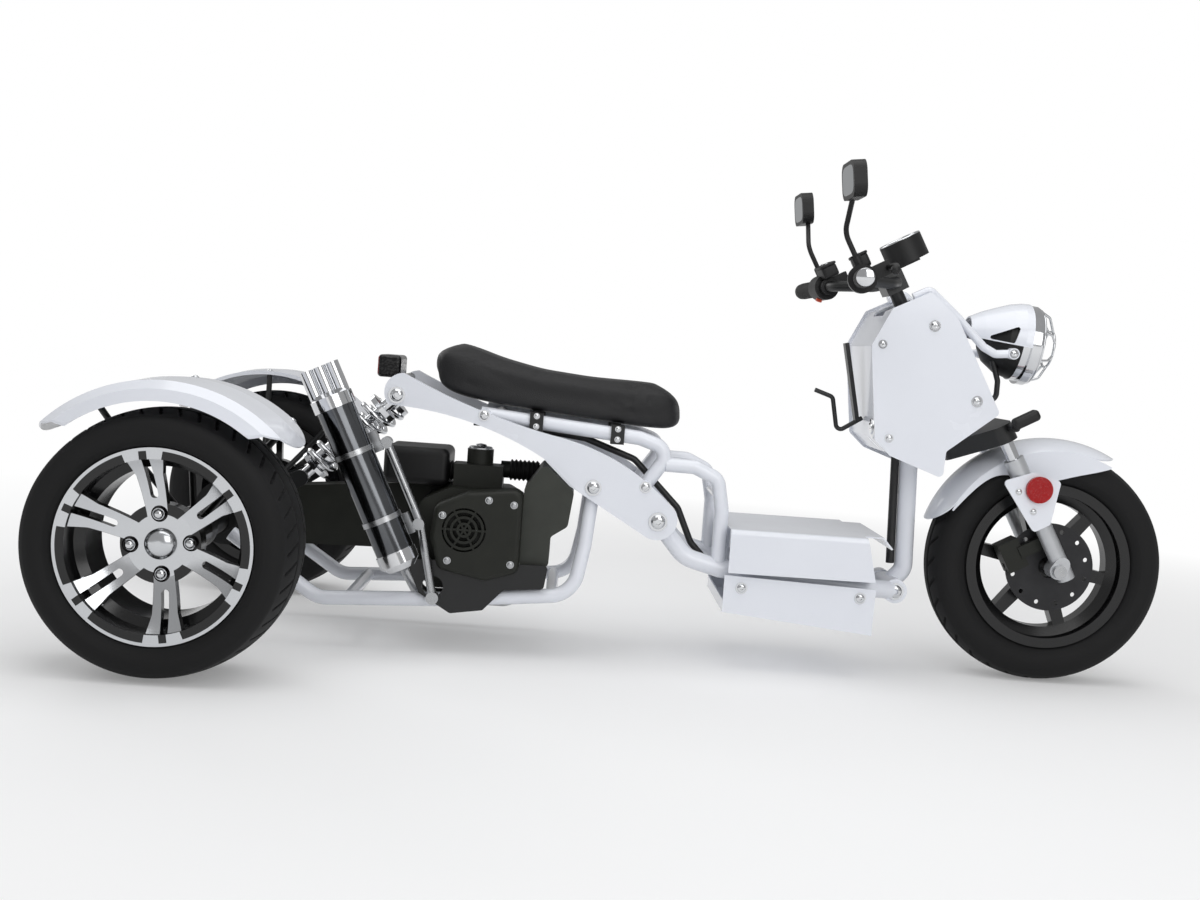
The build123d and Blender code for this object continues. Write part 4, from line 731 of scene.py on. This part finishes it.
# %% Panel bolts
PANEL_FACE, TRAY_FACE, ARM_FACE = 0.130, 0.150, 0.142       # how far out each face lies
PIVOT_FACE, CLAMP_FACE, LAMP_FACE = 0.078, 0.127, 0.122
BOLTS = [
    # x, z, face, radius
    (0.5296, 0.6972, PANEL_FACE, 0.0085), (0.6240, 0.5580, PANEL_FACE, 0.0085),
    (0.460, 0.475, PANEL_FACE, 0.0065), (0.432, 0.655, PANEL_FACE, 0.0065),
    (0.195, 0.167, TRAY_FACE, 0.0085), (0.426, 0.163, TRAY_FACE, 0.0085),
    (0.025, 0.283, ARM_FACE, 0.0140), (-0.491, 0.491, ARM_FACE, 0.0125), (-0.104, 0.340, ARM_FACE, 0.0120),
    (-0.004, 0.348, ARM_FACE, 0.0085), (-0.322, 0.464, ARM_FACE, 0.0085),
    (0.510, 0.170, PIVOT_FACE, 0.0130),
    (-0.222, 0.449, CLAMP_FACE, 0.0045), (-0.222, 0.469, CLAMP_FACE, 0.0045),
    (-0.064, 0.435, CLAMP_FACE, 0.0045), (-0.064, 0.455, CLAMP_FACE, 0.0045),
    (0.690, 0.655, LAMP_FACE, 0.0065),
]
FENDER_R, STAY_Y = 0.2764, 0.318
FENDER_TURNS = np.radians([50, 90, 128])
SMALL_SCREW_R = 0.0055
heads = [bolt_head((x, sign * face, z), (0, sign, 0), r) for x, z, face, r in BOLTS for sign in (-1, 1)]
for sign in (-1, 1):
    for turn in FENDER_TURNS:
        out = np.array([np.cos(turn), 0.0, np.sin(turn)])
        on_fender = (REAR_AXLE_X, sign * STAY_Y, REAR_AXLE_Z) + FENDER_R * out
        heads.append(bolt_head(on_fender, out, SMALL_SCREW_R))
piece("panel_bolts", heads, FINISHES["bright_chrome"], "frame")

# %% Wheel nuts
NUT_CIRCLE_R, NUT_R = 0.0508, 0.0092
NUT_FACE_Y = 0.4905         # the flat end of each lug on the hub
NUT_TURNS = np.radians([5, 95, 185, 275])
nut = [(-0.004, NUT_R), (0.001, NUT_R), (0.0022, NUT_R * 0.9), (0.0045, NUT_R * 0.72), (0.0062, NUT_R * 0.4),
       (0.0066, 0.0)]
for side_name, sign in SIDES:
    nuts = []
    for turn in NUT_TURNS:
        at = (REAR_AXLE_X + NUT_CIRCLE_R * np.cos(turn), sign * NUT_FACE_Y,
              REAR_AXLE_Z + NUT_CIRCLE_R * np.sin(turn))
        nuts.append(revolved(nut, at, (0, sign, 0), 24))
    piece(f"wheel_nuts_{side_name}", nuts, FINISHES["bright_chrome"], f"rear_wheel_{side_name}")

# %% [markdown]
# Engine dress. Screws hold the fan cowl and the belt case, whose two shafts end in round bosses. Ribbed
# rubber sleeves join the air box to the carburettor and the carburettor to the cylinder, and two plated
# straps clamp the muffler to its hanger. Bump could stand for the ribs, but the sleeves show against the
# light, so their outline matters: a sleeve is a tube whose radius is a wave along its length.

# %% Engine screws and bosses
FAN_FACE, BELT_FACE = 0.182, 0.122
FAN_SHAFT, DRIVE_SHAFT = (-0.344, 0.246), (-0.690, 0.226)
COWL_SCREWS = [(-0.386, 0.272), (-0.300, 0.306), (-0.252, 0.300), (-0.252, 0.186), (-0.372, 0.186)]
BELT_SCREWS = [
    # shaft, distance from it, turns in degrees
    (FAN_SHAFT, 0.050, (-75, -25, 25, 75)), (DRIVE_SHAFT, 0.039, (105, 155, 205, 255)),
]
BELT_RUN_X, BELT_RUN_Z = (-0.45, -0.57), (0.237 - 0.046, 0.237 + 0.046)     # along its straight edges
BOSS_R = [(FAN_SHAFT, 0.034), (DRIVE_SHAFT, 0.026)]
BOSS = np.array([
    # distance out of the case, share of the boss's radius
    (-0.002, 1.0), (0.004, 0.98), (0.006, 0.9), (0.006, 0.62), (0.003, 0.58), (0.003, 0.24), (0.007, 0.2),
    (0.007, 0.0),
])
on_belt_case = [(x + reach * np.cos(turn), z + reach * np.sin(turn))
                for (x, z), reach, turns in BELT_SCREWS for turn in np.radians(turns)]
on_belt_case += [(x, z) for x in BELT_RUN_X for z in BELT_RUN_Z]
screws = [bolt_head((x, -FAN_FACE, z), (0, -1, 0), SMALL_SCREW_R) for x, z in COWL_SCREWS]
screws += [bolt_head((x, BELT_FACE, z), (0, 1, 0), SMALL_SCREW_R) for x, z in on_belt_case]
piece("engine_screws", screws, FINISHES["bare_steel"], "frame")
bosses = [revolved(BOSS * (1, radius), (x, BELT_FACE, z), (0, 1, 0)) for (x, z), radius in BOSS_R]
piece("belt_case_bosses", bosses, FINISHES["cast_alloy"], "frame")

# %% Intake sleeves
SLEEVES = [
    # start, end, radius, rib height, rib pitch
    ((-0.396, -0.020, 0.343), (-0.374, -0.020, 0.343), 0.0185, 0.0018, 0.0075),
    ((-0.270, -0.010, 0.352), (-0.212, -0.010, 0.352), 0.0195, 0.0018, 0.0085),
]
STEPS_A_RIB = 14
CARBURETTOR_TOP = (-0.330, -0.040, 0.392)
CARBURETTOR_CAP = [(-0.001, 0.0235), (0.003, 0.0235), (0.005, 0.021), (0.0055, 0.012), (0.009, 0.010),
                   (0.011, 0.0)]


def ribbed_tube(start, end, radius, rib, pitch):
    """A closed tube whose radius is radius + rib * sin(2 * pi * distance / pitch)."""
    way = np.subtract(end, start)
    length = np.linalg.norm(way)
    run = np.linspace(0, length, int(STEPS_A_RIB * length / pitch) + 2)
    wave = radius + rib * np.sin(run * 2 * np.pi / pitch)
    profile = np.concatenate([[(0, 0)], np.stack([run, wave], -1), [(length, 0)]])
    return revolved(profile, start, way, 36)


piece("intake_sleeves", [ribbed_tube(*row) for row in SLEEVES], FINISHES["grip_rubber"], "frame")
cap = revolved(CARBURETTOR_CAP, CARBURETTOR_TOP, (0, 0, 1))
piece("carburettor_cap", [cap], FINISHES["bare_steel"], "frame")

# %% Muffler straps and the lock in the front box
MUFFLER_R = 0.036
STRAP_HALF, STRAP_SUNK, STRAP_THICK = 0.005, 0.001, 0.0018
STRAPS_AT = (0.26, 0.66)                # shares of the barrel's length
LOCK_AT, LOCK_FACING = (0.4362, -0.085, 0.490), (-0.993, 0.0, -0.120)
LOCK = [(-0.001, 0.021), (0.002, 0.020), (0.003, 0.012), (0.0055, 0.011), (0.0055, 0.004), (0.003, 0.003),
        (0.003, 0.0)]
inner, outer = MUFFLER_R - STRAP_SUNK, MUFFLER_R + STRAP_THICK
strap = [(-STRAP_HALF, inner), (-STRAP_HALF, outer), (STRAP_HALF, outer), (STRAP_HALF, inner)]
straps = [revolved(strap, MUFFLER_LOW + MUFFLER_AXIS * share, MUFFLER_AXIS, 72) for share in STRAPS_AT]
piece("muffler_straps", straps, FINISHES["bare_steel"], "frame")
piece("lock_barrel", [revolved(LOCK, LOCK_AT, LOCK_FACING)], FINISHES["bright_chrome"], "frame")

# %% [markdown]
# Steering head details. The mirrors need their glass, the grips their ribs and the bar its end caps. They lean
# with the fork, so placing them in the machine's frame would take an angle for each. Instead they are drawn
# upright in the fork's own frame and turned by the rake, so that they sit square on the solids.

# %% Mirror glass
MIRROR_AT = np.array([-0.048, 0.282, 1.104])
MIRROR_TILT = math.radians(22.0)
MIRROR_HALF, MIRROR_BACK = (0.050, 0.026), 0.0122
MIRROR_CORNER = 0.5                     # power that squares the outline
silvered_glass = finish("silvered_glass", "#B4B9BD", "#C4C8CB", 50, (0.03, 0.06), 9.0, 0.00002, Metallic=1.0)


def mirror_sheet(sign):
    """Rings from the middle out to a superellipse, half * cos^p and half * sin^p, on the head's back."""
    ring = np.linspace(0, 1, 7)[None, :]
    angle = full_turn(64)[:, None]
    c, s = np.cos(angle), np.sin(angle)
    y = MIRROR_HALF[0] * ring * np.sign(c) * np.abs(c) ** MIRROR_CORNER
    z = MIRROR_HALF[1] * ring * np.sign(s) * np.abs(s) ** MIRROR_CORNER
    x = -MIRROR_BACK + 0 * y
    t = x * math.cos(MIRROR_TILT) + z * math.sin(MIRROR_TILT)
    along = -x * math.sin(MIRROR_TILT) + z * math.cos(MIRROR_TILT)
    return steered(np.stack([t, y, along], -1) + MIRROR_AT * (1, sign, 1)), True, False


piece("mirror_glass", [mirror_sheet(-1), mirror_sheet(1)], silvered_glass, "steering")

# %% Grip ribs, bar ends and stop button
BAR_END, BAR_KNEE = np.array([-0.113, 0.340, 0.940]), np.array([-0.084, 0.150, 0.931])
GRIP_R, GRIP_END = 0.017, 0.009         # the grip's radius, and its closed end beyond the bar
RIBS_FROM, RIBS_TO, RIB_PITCH = 0.004, 0.106, 0.006
RIB_LOW, RIB_RISE, RIB_SUNK = 0.0002, 0.0007, 0.0005
POD_AT, POD_R = 0.136, 0.027
BAR_CAP = [(-0.0005, 0.0165), (-0.002, 0.0160), (-0.004, 0.0120), (-0.0045, 0.0)]
BUTTON = [(POD_R - 0.003, 0.007), (POD_R + 0.004, 0.007), (POD_R + 0.005, 0.005), (POD_R + 0.005, 0.0)]
switch_orange = finish("acetal_orange", "#D8431C", "#E2552B", 10, (0.3, 0.4), 1.0, 0.0001)


def along_bar(sign, distance):
    """A place on the bar's outer stretch and the bar's direction inwards, both in the machine's frame."""
    inward = unit(BAR_KNEE - BAR_END)
    return steered((BAR_END + inward * distance) * (1, sign, 1)), steered_way(inward * (1, sign, 1))


def ribbed_sleeve(sign):
    """Rings along the grip: the radius rises and falls as a sine of the distance."""
    run = np.linspace(RIBS_FROM, RIBS_TO, 180)
    ribs = GRIP_R + RIB_LOW + RIB_RISE * (0.5 + 0.5 * np.sin(run * 2 * np.pi / RIB_PITCH))
    ribs[[0, -1]] = GRIP_R - RIB_SUNK
    return revolved(np.stack([run, ribs], -1), *along_bar(sign, 0.0))


sleeves = [ribbed_sleeve(-1), ribbed_sleeve(1)]
piece("grip_ribs", sleeves, FINISHES["grip_rubber"], "steering")
caps = [revolved(BAR_CAP, *along_bar(sign, -GRIP_END)) for sign in (-1, 1)]
piece("bar_caps", caps, FINISHES["bright_chrome"], "steering")
button = revolved(BUTTON, along_bar(1, POD_AT)[0], steered_way((-0.7, 0.0, -0.7)))
piece("stop_button", [button], switch_orange, "steering")

# %% [markdown]
# Brake reservoirs. Beside each pod a clamp on the bar carries a small fluid reservoir with a lid and two
# screws. A cube with a bevel would do for its body; a superellipsoid gives the soft moulded edges in one
# formula. It is a sphere whose sines and cosines are raised to a small power, which squares it.

# %% Brake reservoirs
RESERVOIR_AT = 0.166                        # along the bar from its end
RESERVOIR_HALF = (0.023, 0.017, 0.014)      # along the bar, fore and aft, up
RESERVOIR_RISE, RESERVOIR_FORE = 0.030, 0.012
LID_HALF = (RESERVOIR_HALF[0] + 0.0015, RESERVOIR_HALF[1] + 0.0015, 0.003)
POST_HALF = (0.008, 0.008, 0.014)
BAR_R, CLAMP_R, CLAMP_HALF = 0.011, 0.017, 0.009
CLAMP = [(-CLAMP_HALF, BAR_R), (-CLAMP_HALF, CLAMP_R), (CLAMP_HALF, CLAMP_R), (CLAMP_HALF, BAR_R)]
LID_SCREW_AT, LID_SCREW_R = 0.014, 0.0028
BLOCK_POWER = 0.32


def rounded_block(centre, axes, half):
    """Superellipsoid: each half length times signed powers of the cosines and sines of two angles."""
    u = full_turn(48)[:, None]
    v = np.linspace(-np.pi / 2, np.pi / 2, 25)[None, :]
    cu, su, cv, sv = (np.sign(f) * np.abs(f) ** BLOCK_POWER
                      for f in (np.cos(u), np.sin(u), np.cos(v), np.sin(v)))
    cv = np.where(np.abs(np.cos(v)) < 1e-9, 0.0, cv)
    local = (half[0] * cu * cv, half[1] * su * cv, half[2] * sv + 0 * cu)
    return centre + sum(part[..., None] * axis for part, axis in zip(local, axes)), True, False


rise, fore = steered_way((0, 0, 1)), steered_way((1, 0, 0))
blocks, lid_screws = [], []
for sign in (-1, 1):
    on_bar, along = along_bar(sign, RESERVOIR_AT)
    axes = (unit(along), fore, rise)
    middle = on_bar + RESERVOIR_RISE * rise + RESERVOIR_FORE * fore
    lid = middle + RESERVOIR_HALF[2] * rise
    blocks += [rounded_block(middle, axes, RESERVOIR_HALF), rounded_block(lid, axes, LID_HALF),
               revolved(CLAMP, on_bar, along), rounded_block((on_bar + middle) / 2, axes, POST_HALF)]
    for step in (-LID_SCREW_AT, LID_SCREW_AT):
        lid_screws.append(bolt_head(lid + LID_HALF[2] * rise + step * axes[0], rise, LID_SCREW_R))
piece("brake_reservoirs", blocks, FINISHES["black_plastic"], "steering")
piece("reservoir_screws", lid_screws, FINISHES["bare_steel"], "steering")

# %% Bracket bolts
BRACKET_FACE = 0.1163
BRACKET_SCREWS = [(0.036, 0.424), (0.046, 0.376)]       # ahead of the steering axis, along it
heads = [bolt_head(steered((t, sign * BRACKET_FACE, s)), (0, sign, 0), SMALL_SCREW_R)
         for t, s in BRACKET_SCREWS for sign in (-1, 1)]
piece("bracket_bolts", heads, FINISHES["bright_chrome"], "steering")

# %% [markdown]
# Gauge. The round instrument has a chrome rim, printed marks and an orange needle. A picture of a dial would
# need a texture; the marks are so few that each is a thin raised bar that points at the dial's middle.

# %% Gauge dial
GAUGE_T, GAUGE_TOP, GAUGE_R = 0.049, 0.963, 0.043
RIM_R, RIM_RISE, RIM_FOOT = 0.003, 0.0028, 0.0005
TICK_LOW, TICK_HIGH = 0.0002, 0.0008                    # over the dial's face
TICK_OUTER, TICK_INNER, LONG_TICK_INNER = 0.035, 0.029, 0.026
TICK_HALF, NEEDLE_HALF = 0.0006, 0.0009
TICK_DEGREES, LONG_TICK_STEP = range(-135, 136, 15), 60
NEEDLE_TURN, NEEDLE_TAIL, NEEDLE_TIP = math.radians(-120), -0.006, 0.030


def gauge_ring():
    """Chrome rim round the dial: a small half-round turned about the gauge's axis."""
    half = np.linspace(0, np.pi, 9)
    profile = np.stack([RIM_FOOT + RIM_RISE * np.sin(half), GAUGE_R - RIM_R + RIM_R * np.cos(half)], -1)
    return revolved(profile, steered((GAUGE_T, 0, GAUGE_TOP)), steered_way((0, 0, 1)))


def gauge_tick(turn, inner, outer, half_width):
    """A thin raised bar on the dial, pointing at the dial's middle."""
    grow = np.linspace(inner, outer, 2)[:, None]
    across = np.array([-1, -1, 1, 1])[None, :] * half_width
    lift = np.array([TICK_LOW, TICK_HIGH, TICK_HIGH, TICK_LOW])[None, :]
    t = GAUGE_T + grow * math.cos(turn) - across * math.sin(turn)
    y = grow * math.sin(turn) + across * math.cos(turn)
    return steered(np.stack([t, y, GAUGE_TOP + lift + 0 * t], -1)), False, True


white_print = finish("dial_print_white", "#D9DADB", "#E4E5E6", 20, (0.4, 0.5), 2.0, 0.00002)
inner_ends = [TICK_INNER if degrees % LONG_TICK_STEP else LONG_TICK_INNER for degrees in TICK_DEGREES]
ticks = [gauge_tick(math.radians(degrees), inner_end, TICK_OUTER, TICK_HALF)
         for degrees, inner_end in zip(TICK_DEGREES, inner_ends)]
needle = gauge_tick(NEEDLE_TURN, NEEDLE_TAIL, NEEDLE_TIP, NEEDLE_HALF)
piece("gauge_rim", [gauge_ring()], FINISHES["bright_chrome"], "steering")
piece("gauge_marks", ticks, white_print, "steering")
piece("gauge_needle", [needle], switch_orange, "steering")

# %% [markdown]
# Headlight. Behind the lens is a polished bowl that throws the beam, with the bulb at its middle. A flat
# silver disc would look dead through the glass. The real form is a shallow paraboloid, whose depth goes with
# the square of the radius, so its reflections bend as they do on the machine.

# %% Headlight reflector
LAMP_AT = np.array([0.753, 0.0, 0.675])
LAMP_TILT = math.radians(6.0)
LAMP_AXIS = np.array([math.cos(LAMP_TILT), 0.0, -math.sin(LAMP_TILT)])
BOWL_INNER, BOWL_OUTER = 0.010, 0.066
BOWL_BACK, BOWL_DEPTH = -0.0225, 0.0118
BULB = [(-0.023, 0.0), (-0.023, 0.009), (-0.017, 0.009), (-0.013, 0.006), (-0.0115, 0.0)]
reach = np.linspace(BOWL_INNER, BOWL_OUTER, 14)
bowl = np.stack([BOWL_BACK + BOWL_DEPTH * (reach / BOWL_OUTER) ** 2, reach], -1)
lamp_inside = [revolved(profile, LAMP_AT, LAMP_AXIS) for profile in (bowl, BULB)]
piece("headlight_reflector", lamp_inside, FINISHES["bright_chrome"], "frame")

# %% [markdown]
# Stage. The photograph has a plain white ground with a soft shadow. A white floor alone would show a grey
# horizon. So the pale floor takes the machine's shadow near it, and further away it turns to plain white for
# rays that look at it. Large soft lamps stand above, in front and behind, and the world fills in.

# %% Floor and world
FLOOR_HALF = 30.0
WHITE_FROM, WHITE_AT, WHITE_NEAR = 1.3, 3.2, 0.22       # distances, and the share of white near the machine
SKY_FILL, SKY_SEEN = 0.42, 1.0                          # strength as light, and where it is looked at


def floor_finish():
    """Pale paper near the machine, plain white further out for rays that look at it."""
    made = finish("paper_backdrop", "#F1F2F3", "#F6F6F7", 800, (0.85, 0.95), 20.0, 0.00002)
    tree = made.node_tree
    where = add(tree, "ShaderNodeTexCoord").outputs["Object"]
    far = add(tree, "ShaderNodeVectorMath", {0: where}, operation="LENGTH").outputs["Value"]
    rays = add(tree, "ShaderNodeLightPath").outputs
    looked = calc(tree, "MAXIMUM", rays["Is Camera Ray"], rays["Is Glossy Ray"])
    looked = calc(tree, "MAXIMUM", looked, rays["Is Transmission Ray"])
    ease = add(tree, "ShaderNodeMapRange",
               {"Value": far, "From Min": WHITE_FROM, "From Max": WHITE_AT, "To Min": WHITE_NEAR})
    share = calc(tree, "MULTIPLY", ease.outputs[0], looked)
    white = add(tree, "ShaderNodeEmission", {"Color": (1, 1, 1, 1), "Strength": 1.0})
    paper = tree.nodes["Principled BSDF"]
    mixed = add(tree, "ShaderNodeMixShader", {0: share, 1: paper.outputs[0], 2: white.outputs[0]})
    tree.links.new(mixed.outputs[0], tree.nodes["Material Output"].inputs["Surface"])
    return made


edge = np.linspace(-FLOOR_HALF, FLOOR_HALF, 3)
floor_x, floor_y = np.meshgrid(edge, edge, indexing="ij")
floor_grid = (np.stack([floor_x, floor_y, 0 * floor_x], -1), False, False)
floor = link(bpy.data.objects.new("floor", mesh_from("floor", [floor_grid])))
floor.data.materials.append(floor_finish())

world = bpy.data.worlds.new("studio")
world.use_nodes = True
bpy.context.scene.world = world
sky = world.node_tree
rays = add(sky, "ShaderNodeLightPath").outputs
looked = calc(sky, "MAXIMUM", rays["Is Camera Ray"], rays["Is Transmission Ray"])
level = add(sky, "ShaderNodeMapRange", {"Value": looked, "To Min": SKY_FILL, "To Max": SKY_SEEN})
sky.nodes["Background"].inputs["Color"].default_value = (1, 1, 1, 1)
sky.links.new(level.outputs[0], sky.nodes["Background"].inputs["Strength"])
print("floor", 2 * FLOOR_HALF, "m wide")

# %% Lamps
LAMPS = [
    # name, place, aims at, size, watts
    ("top_softbox", (0.0, -0.6, 3.2), (0.0, 0.0, 0.3), 3.2, 51),
    ("front_softbox", (1.2, -3.4, 1.9), (0.0, 0.0, 0.4), 2.2, 36),
    ("rear_softbox", (-2.6, 2.2, 2.0), (0.0, 0.0, 0.5), 2.0, 28),
]
for name, place, aim, size, watts in LAMPS:
    lamp = link(bpy.data.objects.new(name, bpy.data.lights.new(name, "AREA")))
    lamp.data.size = size
    lamp.data.energy = watts
    lamp.location = place
    lamp.rotation_euler = (Vector(aim) - Vector(place)).to_track_quat("-Z", "Y").to_euler()
bpy.context.scene.view_settings.view_transform = "Standard"
print(len(LAMPS), "lamps")

# %% [markdown]
# Sizes. The dressed machine has to stay in the box of its solids, or it would touch what the solids clear.

# %% Update the scene
bpy.context.view_layer.update()
